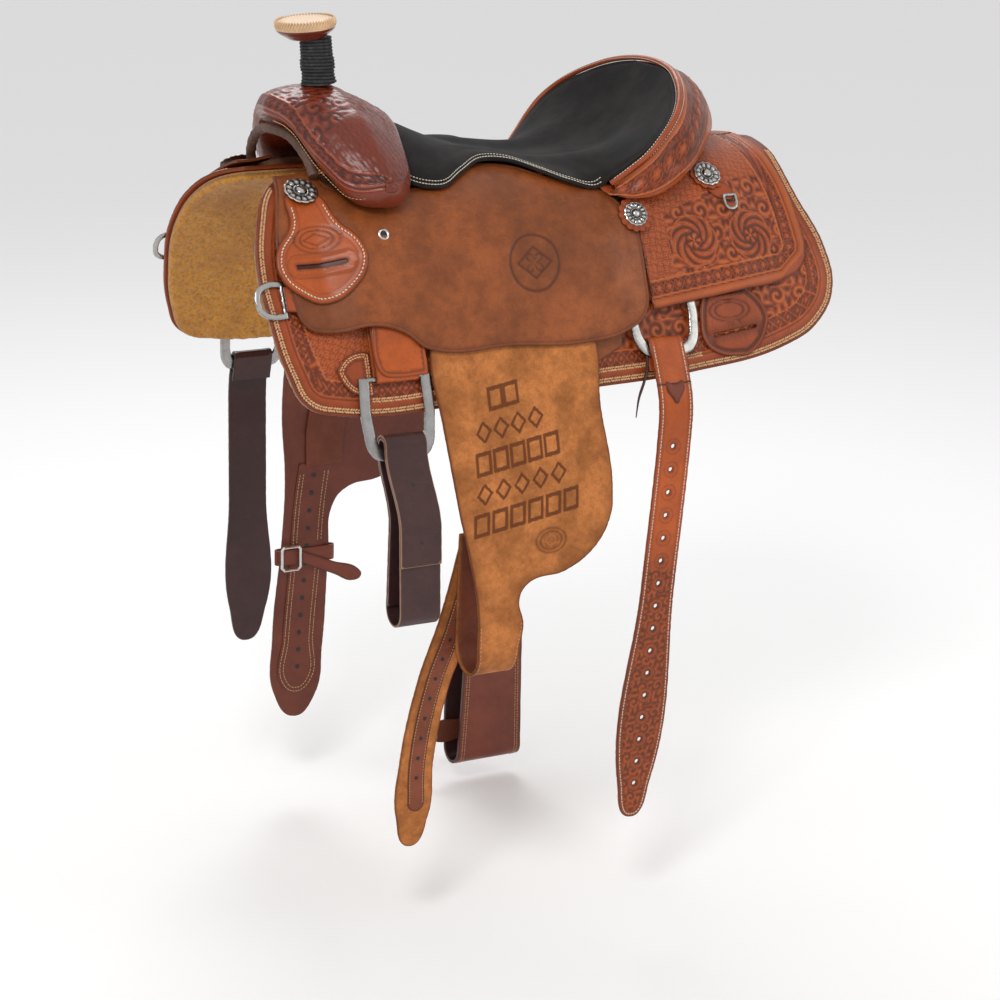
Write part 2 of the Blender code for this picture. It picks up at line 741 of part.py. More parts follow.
def make_rigging(tag, side):
    place = BODY.over(side)
    name = f"front_rigging_{tag}"
    leather_loop(name, "saddle_leather", -0.2500, -0.1925, 0.262, FRONT_DEE_S, LAYER_GAP, 0.0119, 0.0020, place)
    plate(
        f"front_dee_{tag}",
        "steel",
        dee_outlines(0.096, 0.100, FRONT_BAND, 0.0024, 0.50),
        dee_place(side, FRONT_DEE_X, FRONT_DEE_S, FRONT_DEE_N, FRONT_DEE_SLOPE),
        -DEE_METAL / 2,
        DEE_METAL / 2,
        rounds=4,
    )
    name = f"rear_rigging_{tag}"
    leather_loop(name, "saddle_leather", 0.1410, 0.1890, 0.200, REAR_DEE_S, LAYER_GAP, 0.0103, 0.0014, place)
    plate(
        f"rear_dee_{tag}",
        "silver",
        dee_outlines(0.100, 0.078, REAR_BAND, 0.0023, 0.4),
        dee_place(side, REAR_DEE_X, REAR_DEE_S, REAR_DEE_N, REAR_DEE_SLOPE),
        -0.0021,
        0.0021,
        rounds=4,
    )
    strap = ((-0.160, 0.300, 1), (-0.160, 0.338, 1), (0.060, 0.342, 1), (0.098, 0.325, 1), (0.106, 0.292, 1))
    strap += ((0.060, 0.306, 1),)
    plate(f"rigging_strap_{tag}", "saddle_leather", [strap], place, LAYER_GAP, 0.0026)
    kite = ((0.227, 0.264, 1), (0.292, 0.262, 1), (0.318, 0.296), (0.318, 0.315), (0.286, 0.352), (0.272, 0.353))
    kite += ((0.236, 0.346), (0.2195, 0.330), (0.2175, 0.300))
    slot = ((0.233, 0.3215), (0.235, 0.3260), (0.299, 0.3190), (0.301, 0.3150), (0.299, 0.3140))
    plate(f"rear_slot_plate_{tag}", "saddle_leather", [kite, slot], place, LAYER_GAP, 0.0036, rounds=2)
    pear = ((-0.318, 0.100), (-0.285, 0.100), (-0.268, 0.142), (-0.250, 0.168), (-0.246, 0.195), (-0.262, 0.222))
    pear += ((-0.300, 0.239), (-0.334, 0.229), (-0.355, 0.203), (-0.352, 0.172), (-0.328, 0.140))
    pear_slot = ((-0.329, 0.1885, 1), (-0.329, 0.1945, 1), (-0.271, 0.1955, 1), (-0.271, 0.1895, 1))
    plate(
        f"latigo_keeper_{tag}",
        "saddle_leather",
        [pear, pear_slot],
        place,
        keeper_low,
        lambda x, s: keeper_low(x, s) + 0.003,
        bends_x=JOCKEY_X,
        rounds=2,
    )
    plate(
        f"breast_dee_{tag}",
        "silver",
        dee_outlines(0.046, 0.036, 0.0065, 0.0022),
        turned_dee(side, BREAST_DEE_X, BREAST_DEE_S, BREAST_DEE_N),
        -0.0018,
        0.0018,
    )


def keeper_low(x, s):
    """The latigo keeper lies on the seat jockey."""
    return jockey_high(x, s) + LAYER_GAP + 0.0012


def turned_dee(side, x, s, n):
    """A dee whose bar runs up the skirt's front and whose hoop points forward."""
    out, z = BODY.at(s, n)
    slope = BODY.slope(s)

    def place(u, v, h):
        return Vector((x - v, side * (out + u * cos(slope) + h * sin(slope)), z - u * sin(slope) + h * cos(slope)))

    return place


CONCHO_PROFILE = ((0, 0.0052), (0.25, 0.0048), (0.55, 0.0030), (0.85, 0.0022), (1.0, 0.0012), (1.0, 0.0), (0, 0.0))


def make_concho(name, place, x, s, n, side, radius):
    profile = [(radius * r, h) for r, h in CONCHO_PROFILE]
    turned(name, "silver", profile, surface_frame(place, x, s, n, side), 16)


def make_conchos(tag, side):
    place = BODY.over(side)
    make_concho(f"front_concho_{tag}", place, -0.300, 0.0985, keeper_low(-0.3, 0.1) + 0.0065, side, 0.0200)
    make_concho(f"side_concho_{tag}", place, 0.141, 0.163, 0.0235, side, 0.0190)
    make_concho(f"rear_concho_{tag}", place, 0.268, 0.116, 0.0170, side, 0.0200)
    plate(
        f"string_dee_{tag}",
        "silver",
        dee_outlines(0.020, 0.020, 0.0032, 0.0016),
        dee_place(side, STRING_DEE_X, STRING_DEE_S, STRING_DEE_N, STRING_DEE_SLOPE),
        -0.0012,
        0.0012,
        rounds=2,
    )


# Fenders, stirrup leathers and straps


def fender_profile(fall, bends):
    """Along the skirt's plane first, then as the knots in fall say."""
    start = BODY.at(FENDER_TANGENT, FENDER_OFFSET)
    slope = BODY.slope(FENDER_TANGENT)
    top = 0.160
    out = start[0] - (FENDER_TANGENT - top) * cos(slope)
    z = start[1] + (FENDER_TANGENT - top) * sin(slope)
    tilt = np.degrees(slope)
    return Profile((out, z), ((top, tilt), (0.420, tilt), *fall), (top, 0.420, *bends))


LOOP_START = 0.700
LOOP_RADIUS = 0.034
LOOP_ARC = pi * LOOP_RADIUS
LOOP_END = LOOP_START + LOOP_ARC + 0.170
NEAR_FALL = ((0.520, 88), (LOOP_START, 88), (LOOP_START + LOOP_ARC, 272), (LOOP_END, 272))
NEAR_BENDS = (0.453, 0.487, 0.520, *(LOOP_START + LOOP_ARC * i / 8 for i in range(9)), LOOP_END)
FENDERS = {
    "near": fender_profile(NEAR_FALL, NEAR_BENDS),
    "off": fender_profile(((0.560, 86), (1.000, 88)), (0.467, 0.513, 0.560, 1.000)),
}
SWING_TOP = 0.192
FENDER_TOP = ((0.030, 0.250), (-0.010, 0.212, 1), (-0.110, 0.212, 1), (-0.150, 0.250), (-0.1725, 0.295))


def make_fender(tag, side):
    place = FENDERS[tag].over(side)
    outline = FENDER_TOP
    if tag == "near":
        end = LOOP_START + LOOP_ARC + 0.145
        left, right = -0.130, -0.072
        outline += ((-0.1695, 0.400), (-0.158, 0.500), (-0.142, 0.570), (left, 0.640), (left, LOOP_START))
        outline += ((left, end, 1), (right, end, 1), (right, LOOP_START), (right + 0.006, 0.665), (right, 0.632))
        outline += ((-0.060, 0.613), (-0.005, 0.602), (0.035, 0.577), (0.057, 0.540), (0.060, 0.500))
        strap_end = 0.645
    else:
        outline += ((-0.1695, 0.400), (-0.166, 0.520), (-0.158, 0.620), (-0.160, 0.700), (-0.172, 0.860))
        outline += ((-0.168, 0.945), (-0.135, 0.985), (-0.104, 0.955), (-0.094, 0.880), (-0.088, 0.740))
        outline += ((-0.082, 0.660), (-0.062, 0.640), (-0.010, 0.630), (0.035, 0.605), (0.057, 0.565), (0.060, 0.520))
        strap_end = 0.600
    outline += ((0.052, 0.400), (0.055, 0.310))
    plate(f"fender_{tag}", "fender_leather", [outline], place, -0.0035, 0.0)
    strap = ((-0.095, SWING_TOP, 1), (-0.130, strap_end - 0.05, 1), (-0.128, strap_end, 1), (-0.074, strap_end, 1))
    strap += ((-0.072, strap_end - 0.05, 1), (-0.037, SWING_TOP, 1))
    plate(f"stirrup_leather_{tag}", "strap_leather", [strap], place, -0.0075, -0.0041)


def make_tail():
    """The near stirrup leather's free end, hanging inside the loop."""
    top, height = FENDERS["near"].at(LOOP_END - 0.040, STRAP_GAP + 0.0040)
    fall = Profile((top, height), ((0.0, 92), (0.120, 92), (0.200, 90), (0.460, 90)))
    outline = ((-0.126, 0.0, 1), (-0.152, 0.100), (-0.180, 0.180), (-0.204, 0.290), (-0.208, 0.360))
    outline += ((-0.188, 0.405), (-0.162, 0.365), (-0.156, 0.290), (-0.138, 0.200), (-0.108, 0.120), (-0.078, 0.0, 1))
    plate("stirrup_tail_near", "fender_leather", [outline], fall.over(-1), 0.0, 0.0040)


def coil_profile(top, drop, neck, belly, centre, turns, pitch):
    """A strap wound in long drooping loops, tight over a ring at the top and slack at the bottom."""
    lean = np.degrees((belly - neck) / drop)
    start = (centre - neck - drop * (belly - neck) / drop, top - drop)
    knots = [(0.0, lean - 90), (drop, lean - 90)]
    length, heading = drop, lean - 90
    for i in range(2 * turns - 1):
        radius, turn = (neck, 180 - 2 * lean) if i % 2 == 0 else (belly, 180 + 2 * lean)
        length += radians(turn) * (radius + pitch * i / 2)
        heading += turn
        knots.append((length, heading))
        length += drop
        knots.append((length, heading))
    return Profile(start, knots, turn_steps(knots, 6))


def dee_bottom(s, n, slope, drop, band):
    """(out, z) of the middle of a hanging dee's lower arc."""
    out, z = BODY.at(s, n)
    middle = drop - band / 2
    return out + middle * cos(slope), z - middle * sin(slope)


def make_latigo():
    out, z = dee_bottom(FRONT_DEE_S, FRONT_DEE_N, FRONT_DEE_SLOPE, 0.100, FRONT_BAND)
    top = z + FRONT_BAND / 2 + 0.0060
    fall = coil_profile(top, 0.214, 0.0070, 0.0165, out, 2, LATIGO_PITCH)
    end = fall.bends[-1]

    def sway(height):
        return 0.0195 * float(np.interp(height, (top - 0.065, top), (1, 0)))

    outline = ((-0.2520, 0.0, 1), (-0.2520, end - 0.06, 1), (-0.1970, end - 0.06, 1), (-0.1970, 0.0, 1))
    plate("latigo", "latigo_leather", [outline], fall.over(-1, sway), 0.0, LATIGO_PITCH - STRAP_GAP)


def make_billet(name, look, side, x, half, dee, fall_length, lean, tip=True):
    """A strap folded over a dee's hoop; lean shifts its lower end forward."""
    out, z = dee_bottom(*dee)
    band, slope = dee[4], dee[2]
    radius, back = 0.0038, 0.034
    arc = pi * radius
    tilt = np.degrees(slope)
    foot = Vector((out, z)) + Vector((-cos(slope), sin(slope))) * (band / 2 + 0.0055)
    across = Vector((-sin(slope), -cos(slope))) * radius
    down = Vector((cos(slope), -sin(slope)))
    start = foot + across + down * back
    settle = back + arc + (0.055 if z > -0.22 else 0.020)
    end = back + arc + fall_length
    knots = ((0.0, tilt - 180), (back, tilt - 180), (back + arc, tilt), (settle, tilt), (settle + 0.050, 90), (end, 90))
    bends = [0.0] + [back + arc * i / 6 for i in range(7)] + [settle, settle + 0.025, settle + 0.050, end]
    fall = Profile(tuple(start), knots, bends)
    mid = (back + arc + end) / 2
    low = end - 0.050 if tip else end
    bow = 0.42 * lean
    outline = [(x - half, 0.0, 1), (x - half, 0.120), (x - half - bow, mid), (x - half - lean, low)]
    outline += [(x - lean - 0.004, end)] if tip else [(x - half - lean, end, 1), (x + half - lean, end, 1)]
    outline += [(x + half - lean, low), (x + half - bow, mid), (x + half, 0.120), (x + half, 0.0, 1)]
    plate(name, look, [outline], fall.over(side), 0.0, 0.0040)
    return fall.at(end)


CINCH_DROP = 0.375
CINCH_FOLD = 0.022
CINCH_TOP = -0.520


def make_flank_cinch(out):
    """A wide lined strap hanging below the off rear billet, turned back up at its lowest point."""
    arc = pi * CINCH_FOLD
    end = CINCH_DROP + arc + 0.17
    knots = ((0.0, 90), (CINCH_DROP, 90), (CINCH_DROP + arc, 270), (end, 270))
    fall = Profile((out, CINCH_TOP), knots, turn_steps(knots, 8))
    outline = ((0.136, 0.0, 1), (0.134, 0.080), (0.116, 0.130), (0.098, 0.190), (0.098, end, 1), (0.192, end, 1))
    outline += ((0.192, 0.190), (0.188, 0.130), (0.176, 0.080), (0.174, 0.0, 1))
    plate("flank_cinch", "strap_leather", [outline], fall.over(1), -0.0050, 0.0)
    low = CINCH_DROP - 0.024
    tab = ((0.062, low - 0.008), (0.062, low + 0.008), (0.126, low + 0.014, 1), (0.126, low - 0.014, 1))
    hole = ((0.0665, low), (0.070, low + 0.0035), (0.0735, low), (0.070, low - 0.0035))
    plate("cinch_tab", "strap_leather", [tab, hole], fall.over(1), -0.0090, -0.0056, rounds=2)
    eye = Vector((0.070, out - 0.0073, CINCH_TOP - low))
    fall_way = Vector((-0.6, 0, -0.8))
    ring = 0.014
    bpy.ops.mesh.primitive_torus_add(
        major_radius=ring, minor_radius=0.0015, major_segments=18, minor_segments=6, location=(0, 0, 0)
    )
    made = bpy.context.object
    made.name = "cinch_ring"
    made.data.shade_smooth()
    made.data.materials.append(bpy.data.materials["silver"].copy())
    for collection in made.users_collection:
        collection.objects.unlink(made)
    SADDLE.objects.link(made)
    side_way = Vector((0, 1, 0))
    turn = Matrix((side_way, fall_way, side_way.cross(fall_way))).transposed().to_4x4()
    made.matrix_world = Matrix.Translation(eye + fall_way * ring) @ turn


def make_buckle(name, look, centre, width, height, along_axis, up_axis):
    """An open rectangular buckle frame of round bar."""
    curve = bpy.data.curves.new(name, "CURVE")
    curve.dimensions = "3D"
    curve.bevel_depth = 0.0022
    curve.bevel_resolution = 1
    spline = curve.splines.new("POLY")
    corners = 4
    points = []
    inset = 0.0035
    for i in range(corners):
        sign_a = 1 if i in (0, 3) else -1
        sign_b = 1 if i < 2 else -1
        first = Vector((sign_a * (width / 2), sign_b * (height / 2 - inset)))
        second = Vector((sign_a * (width / 2 - inset), sign_b * (height / 2)))
        points += [first, second] if i % 2 == 0 else [second, first]
    spline.points.add(len(points) - 1)
    spline.use_cyclic_u = True
    for knot, point in zip(spline.points, points):
        knot.co = (*(Vector(centre) + along_axis * point.x + up_axis * point.y), 1)
    return add_object(name, curve, look)


def make_hobble():
    """The strap round the off stirrup leather, with its buckle and free end on the inner side."""
    leg, half = -0.124, 0.038
    s = 0.735
    face = FENDERS["off"].at(s, 0.0)
    inner = FENDERS["off"].at(s, -0.0035)
    z = face[1]
    wall = 0.0030
    slack = 0.0020
    x_low, x_high = leg - half - slack - 0.004, leg + half + slack + 0.002
    y_low, y_high = inner[0] - slack, face[0] + slack
    bm = bmesh.new()
    rows = []
    for level in (z - 0.011, z + 0.011):
        corners = ((x_low, y_low, -1, -1), (x_high, y_low, 1, -1), (x_high, y_high, 1, 1), (x_low, y_high, -1, 1))
        outer = [bm.verts.new((x + wall * i, y + wall * j, level)) for x, y, i, j in corners]
        rows.append((outer, [bm.verts.new((x, y, level)) for x, y, i, j in corners]))
    for i in range(4):
        j = (i + 1) % 4
        for k in (0, 1):
            bm.faces.new((rows[0][k][i], rows[0][k][j], rows[1][k][j], rows[1][k][i]))
        for row in rows:
            bm.faces.new((row[0][i], row[0][j], row[1][j], row[1][i]))
    finish_mesh("hobble_strap", bm, "strap_leather")
    front = y_low - wall
    centre = (leg - 0.026, front - 0.0027, z)
    make_buckle("hobble_buckle", "silver", centre, 0.028, 0.034, Vector((1, 0, 0)), Vector((0, 0, 1)))

    def place(x, length, n):
        return Vector((x, front - 0.0003 - n, z - length))

    end = ((leg - 0.0085, -0.008, 1), (leg - 0.0085, 0.009, 1), (leg + 0.040, 0.032), (leg + 0.072, 0.046))
    end += ((leg + 0.084, 0.040), (leg + 0.080, 0.030), (leg + 0.040, 0.013))
    plate("hobble_end", "strap_leather", [end], place, 0.0, 0.0030, rounds=2)


# The saddle

for tag, side in SIDES.items():
    make_side_panels(tag, side)
    make_seat_jockey(tag, side)
    make_rigging(tag, side)
    make_conchos(tag, side)
    make_fender(tag, side)

make_fork()
make_gullet_rim()
make_horn()
make_cantle()
make_seat()
make_tail()
make_latigo()

REAR_DEE = (REAR_DEE_S, REAR_DEE_N, REAR_DEE_SLOPE, 0.078, REAR_BAND)
FRONT_DEE = (FRONT_DEE_S, FRONT_DEE_N, FRONT_DEE_SLOPE, 0.100, FRONT_BAND)
make_billet("rear_billet_near", "tooled_leather", -1, 0.1540, 0.0245, REAR_DEE, 0.640, 0.042)
billet_end = make_billet("rear_billet_off", "strap_leather", 1, 0.155, 0.0225, REAR_DEE, 0.430, 0.0)
make_billet("off_billet", "latigo_leather", 1, FRONT_DEE_X, 0.0275, FRONT_DEE, 0.420, 0.0)
make_flank_cinch(billet_end[0] - 0.0006)
make_hobble()
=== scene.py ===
"""The looks of a western roping saddle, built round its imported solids.

Metres, in the solids' own frame: -X the horn end, -Y the near side, +Z up. Leather is laid over the same
surfaces as the solids, from outlines of (x, s), where s is the arc length out from the middle plane.
"""

from math import cos, pi, radians, sin, sqrt

import bpy
import numpy as np
from mathutils import Matrix, Vector
from mathutils.geometry import delaunay_2d_cdt
from mathutils.kdtree import KDTree


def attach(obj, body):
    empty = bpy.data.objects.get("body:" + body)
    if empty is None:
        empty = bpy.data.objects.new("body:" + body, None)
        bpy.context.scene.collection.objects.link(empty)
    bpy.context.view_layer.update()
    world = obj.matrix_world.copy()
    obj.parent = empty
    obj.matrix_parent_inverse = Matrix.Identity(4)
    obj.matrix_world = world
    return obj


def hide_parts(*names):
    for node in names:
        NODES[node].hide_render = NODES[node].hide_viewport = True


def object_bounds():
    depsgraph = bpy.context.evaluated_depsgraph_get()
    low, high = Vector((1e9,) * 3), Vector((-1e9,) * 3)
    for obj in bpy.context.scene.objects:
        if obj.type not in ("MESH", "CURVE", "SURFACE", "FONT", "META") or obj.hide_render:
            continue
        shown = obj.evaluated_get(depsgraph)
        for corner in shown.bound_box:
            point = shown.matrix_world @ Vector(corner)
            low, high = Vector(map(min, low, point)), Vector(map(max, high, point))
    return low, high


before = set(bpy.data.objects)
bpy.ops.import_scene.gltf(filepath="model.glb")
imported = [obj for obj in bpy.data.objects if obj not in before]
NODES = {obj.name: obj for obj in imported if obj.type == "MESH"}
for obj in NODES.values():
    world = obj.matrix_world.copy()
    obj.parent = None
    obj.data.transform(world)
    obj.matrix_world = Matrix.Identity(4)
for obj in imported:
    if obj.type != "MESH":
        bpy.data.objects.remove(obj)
CAD_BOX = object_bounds()
SIDES = {"near": -1, "off": 1}

# Dimensions that the solids are built from
RIDGE_Z = 0.037
CHANNEL = 0.050
SKIRT_DROP = 0.373
LEATHER = 0.004
SKIRT_LEATHER = 0.005
FLEECE = 0.014
LAYER_GAP = 0.0005
SEAT_THICK = 0.0045
FORK_HALF_WIDTH = 0.168
FENDER_TANGENT = 0.340
FENDER_OFFSET = 0.0125
SWING_TOP = 0.192
FRONT_DEE = {"x": -0.2245, "s": 0.334, "n": 0.0062, "slope": radians(75), "drop": 0.100, "band": 0.0135}
REAR_DEE = {"x": 0.160, "s": 0.2665, "n": 0.0056, "slope": radians(64), "drop": 0.078, "band": 0.0120}
LATIGO_PITCH = 0.0038
STRAP_GAP = 0.0006
LATIGO_THICK = LATIGO_PITCH - STRAP_GAP

# Dimensions of the details
FORWARD = np.array((-1.0, 0, 0))
SHARP_ANGLE = 35
HANDLE_SHARE = 2.5614  # a curve handle is its span over this
WORN_EDGE = 0.0016
RELIEF_FADE = 0.003
MOTIF = (-0.020, 0.215)
GROMMET = (-0.216, 0.165)
KEEPER_SLOT = (-0.300, 0.1918)
KEEPER_MARK = (-0.299, 0.160)


# Arithmetic


def unit(vector):
    return vector / np.linalg.norm(vector)


def lengths_along(line):
    """Distance from a line's first point to each of its points."""
    return np.append(0, np.cumsum(np.linalg.norm(np.diff(line, axis=0), axis=1)))


def line_at(d, at, width, depth=1.0):
    """A smooth ridge over the places where d is near a value."""
    return depth * np.exp(-(((d - at) / width) ** 2))


# Surfaces


class Profile:
    """A line in the (out, z) half-plane, from its angle below the horizontal at arc lengths along it."""

    def __init__(self, start, knots, step=0.0005):
        lengths, degrees = zip(*knots)
        self.s = np.arange(lengths[0], lengths[-1] + step, step)
        self.angle = np.radians(np.interp(self.s, lengths, degrees))
        middle = (self.angle[1:] + self.angle[:-1]) / 2
        self.out = start[0] + step * np.append(0, np.cumsum(np.cos(middle)))
        self.z = start[1] - step * np.append(0, np.cumsum(np.sin(middle)))

    def at(self, s, n=0.0):
        """(out, z) at arc length s, raised n from the line on its outer side."""
        angle = np.interp(s, self.s, self.angle)
        out = np.interp(s, self.s, self.out) + n * np.sin(angle)
        return out, np.interp(s, self.s, self.z) + n * np.cos(angle)

    def over(self, side, shift=None):
        """The function that lays (x, s, n) over this profile on one side of the saddle."""

        def place(x, s, n):
            out, z = self.at(s, n)
            moved = x + shift(z) if shift else x
            return np.stack(np.broadcast_arrays(moved, side * out, z), -1)

        return place


BODY = Profile((0.0, RIDGE_Z), ((0.0, 3), (0.045, 10), (0.150, 57), (0.380, 75), (0.60, 78)))


def softened(xs, ys, width=0.006):
    """A function through the points of a table, with its corners rounded over a width."""
    step = width / 6
    x = np.arange(xs[0] - 3 * width, xs[-1] + 3 * width, step)
    y = np.interp(x, xs, ys)
    kernel = np.exp(-np.linspace(-2, 2, 25) ** 2)
    y = np.convolve(np.pad(y, 12, "edge"), kernel / kernel.sum(), "valid")
    return lambda v: np.interp(v, x, y)


def plane_lift(s):
    """How far the fender's flat plane stands off the rounded skirt."""
    return 0.68 * (np.minimum(s, FENDER_TANGENT) - FENDER_TANGENT) ** 2


JOCKEY_X = (-0.300, -0.255, 0.090, 0.130)
MIDDLE_S = (0.060, 0.095, 0.120, 0.150, 0.190, 0.240, 0.290, 0.335)
MIDDLE_N = (0.0108, 0.0110, 0.0145, 0.0203, *(float(plane_lift(s)) + 0.0140 for s in MIDDLE_S[4:]))
jockey_middle = softened(MIDDLE_S, MIDDLE_N)
jockey_rear = softened((0.120, 0.150), (0.0112, 0.0152))
jockey_share = softened(JOCKEY_X, (0.0, 1.0, 1.0, 2.0), 0.008)


def jockey_low(x, s):
    """Underside of the seat jockey: over the bars and fender in the middle, nearer the skirt at its ends."""
    share = jockey_share(x)
    front = 0.0052 * (1 - share) + jockey_middle(s) * share
    rear = jockey_middle(s) * (2 - share) + jockey_rear(s) * (share - 1)
    return np.where(share <= 1, front, rear)


def jockey_high(x, s):
    return jockey_low(x, s) + LEATHER


def keeper_low(x, s):
    return jockey_high(x, s) + 0.0012


rear_low_at = softened((0.285, 0.345), (0.0108, 0.0010), 0.010)


def rear_low(x, s):
    return rear_low_at(x) + 0 * s


# Outlines


def curve_through(points, step, closed=True):
    """Points along a smooth line through those given. A point with a third value is a corner."""
    count = len(points)
    knots = [np.array(p[:2], float) for p in points]
    corner = [len(p) > 2 for p in points]
    ways = []
    for i, here in enumerate(knots):
        before = knots[i - 1] if i or closed else here
        after = knots[(i + 1) % count] if i < count - 1 or closed else here
        a, b = np.linalg.norm(here - before) + 1e-9, np.linalg.norm(after - here) + 1e-9
        way = (after - here) / b + (here - before) / a
        size = np.linalg.norm(way)
        ways.append(way / (size * HANDLE_SHARE + 1e-12) if size > 1e-9 else way * 0)
    found = []
    for i in range(count if closed else count - 1):
        j = (i + 1) % count
        span = np.linalg.norm(knots[j] - knots[i])
        third = (knots[j] - knots[i]) / 3
        first = knots[i] + (third if corner[i] else ways[i] * span)
        last = knots[j] - (third if corner[j] else ways[j] * span)
        steps = max(1, int(round(span * 1.05 / step)))
        for k in range(steps):
            t = k / steps
            start, end = (1 - t) ** 3 * knots[i], t**3 * knots[j]
            found.append(start + 3 * (1 - t) ** 2 * t * first + 3 * (1 - t) * t**2 * last + end)
    if not closed:
        found.append(knots[-1])
    return np.array(found)


def circle(x, s, radius, count):
    turns = [2 * pi * i / count for i in range(count)]
    return [(x + radius * cos(turn), s + radius * sin(turn)) for turn in turns]


def evenly(loop, step, closed=True):
    """A line's points resampled at an even step."""
    line = np.vstack([loop, loop[:1]]) if closed else loop
    length = lengths_along(line)
    wanted = np.arange(0, length[-1], length[-1] / max(3, round(length[-1] / step)))
    return np.stack([np.interp(wanted, length, line[:, i]) for i in range(line.shape[1])], -1)


def inside(points, loops):
    """Which points lie inside the loops, with holes left out."""
    found = np.zeros(len(points), bool)
    x, y = points[:, 0], points[:, 1]
    for loop in loops:
        for (ax, ay), (bx, by) in zip(loop, np.roll(loop, -1, 0)):
            if ay == by:
                continue
            crosses = ((ay > y) != (by > y)) & (x < (bx - ax) * (y - ay) / (by - ay) + ax)
            found ^= crosses
    return found


class Edge:
    """Distances to an outline."""

    def __init__(self, loops):
        dense = np.vstack([evenly(loop, 0.0008) for loop in loops])
        self.tree = KDTree(len(dense))
        for i, point in enumerate(dense):
            self.tree.insert((point[0], point[1], 0), i)
        self.tree.balance()

    def distance(self, points):
        return np.array([self.tree.find((p[0], p[1], 0))[2] for p in points])


def drawn_in(loop, edge, amount, step):
    """The loop moved inward by an amount, without the points that come too near another stretch."""
    line = evenly(loop, step)
    way = np.roll(line, -1, 0) - np.roll(line, 1, 0)
    way /= np.linalg.norm(way, axis=1)[:, None] + 1e-12
    area = np.sum(line[:, 0] * np.roll(line[:, 1], -1) - np.roll(line[:, 0], -1) * line[:, 1])
    normal = np.stack([-way[:, 1], way[:, 0]], -1) * np.sign(area)
    moved = line + normal * amount
    return moved[edge.distance(moved) > amount * 0.97]


def flat_layout(loops, holes, grid, rings, step, fine=None, fine_grid=0.002):
    """Triangles that fill an outline, with its distance to the edge at every point."""
    every = loops + holes
    edge = Edge(every)
    low, high = np.min(np.vstack(loops), 0), np.max(np.vstack(loops), 0)
    extra = []
    for gap in (grid, fine_grid) if fine else (grid,):
        xs, ys = np.arange(low[0], high[0], gap), np.arange(low[1], high[1], gap * 0.866)
        gx, gy = np.meshgrid(xs, ys)
        gx = gx + (np.arange(len(ys)) % 2)[:, None] * gap / 2
        points = np.stack([gx.ravel(), gy.ravel()], -1)
        if fine:
            chosen = fine(points[:, 0], points[:, 1])
            points = points[chosen if gap == fine_grid else ~chosen]
        points = points[inside(points, every)]
        away = edge.distance(points)
        extra.append(points[away > (max(rings) if rings else 0) + gap * 0.5])
    for ring in rings:
        for loop in loops:
            extra.append(drawn_in(loop, edge, ring, step))
        for hole in holes:
            extra.append(drawn_in(hole, edge, -ring, step) if ring < 0.002 else np.zeros((0, 2)))
    points = np.vstack(every + extra)
    edges = []
    start = 0
    for loop in every:
        edges += [(start + i, start + (i + 1) % len(loop)) for i in range(len(loop))]
        start += len(loop)
    made = delaunay_2d_cdt([Vector(p) for p in points], edges, [], 0, 1e-7)
    points = np.array([tuple(p) for p in made[0]])
    faces = np.array(made[2])
    faces = faces[inside(points[faces].mean(1), every)]
    used, index = np.unique(faces, return_inverse=True)
    return points[used], index.reshape(-1, 3), edge.distance(points[used])


# Objects


def make_object(name, points, faces, look, body, replaces=(), wear_and_shade=None):
    mesh = bpy.data.meshes.new(name)
    points = np.asarray(points, np.float32)
    if isinstance(faces, np.ndarray):
        mesh.vertices.add(len(points))
        mesh.vertices.foreach_set("co", points.ravel())
        width = faces.shape[1]
        mesh.loops.add(faces.size)
        mesh.loops.foreach_set("vertex_index", faces.ravel().astype(np.int32))
        mesh.polygons.add(len(faces))
        mesh.polygons.foreach_set("loop_start", np.arange(0, faces.size, width, dtype=np.int32))
        mesh.update(calc_edges=True)
        mesh.validate()
    else:
        mesh.from_pydata([tuple(p) for p in points], [], faces)
    # This value darkens tooled hollows and edges and lightens rubbed heights; it also holds painted shade on
    # faces that lie in shade.
    if wear_and_shade is not None:
        layer = mesh.attributes.new("wear_and_shade", "FLOAT", "POINT")
        layer.data.foreach_set("value", np.asarray(wear_and_shade, np.float32))
    mesh.shade_smooth()
    mesh.set_sharp_from_angle(angle=radians(SHARP_ANGLE))
    mesh.materials.append(look)
    obj = bpy.data.objects.new(name, mesh)
    bpy.context.scene.collection.objects.link(obj)
    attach(obj, body)
    if replaces:
        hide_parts(*replaces)
    return obj


def relook(name, look):
    """Gives a solid that stays its material."""
    NODES[name].data.materials.clear()
    NODES[name].data.materials.append(look)


def outward(faces):
    """The faces' boundary edges, in the faces' own order."""
    ends = np.concatenate([faces[:, [0, 1]], faces[:, [1, 2]], faces[:, [2, 0]]])
    key = np.sort(ends, 1)
    _, index, count = np.unique(key, axis=0, return_inverse=True, return_counts=True)
    return ends[count[index.reshape(-1)] == 1]


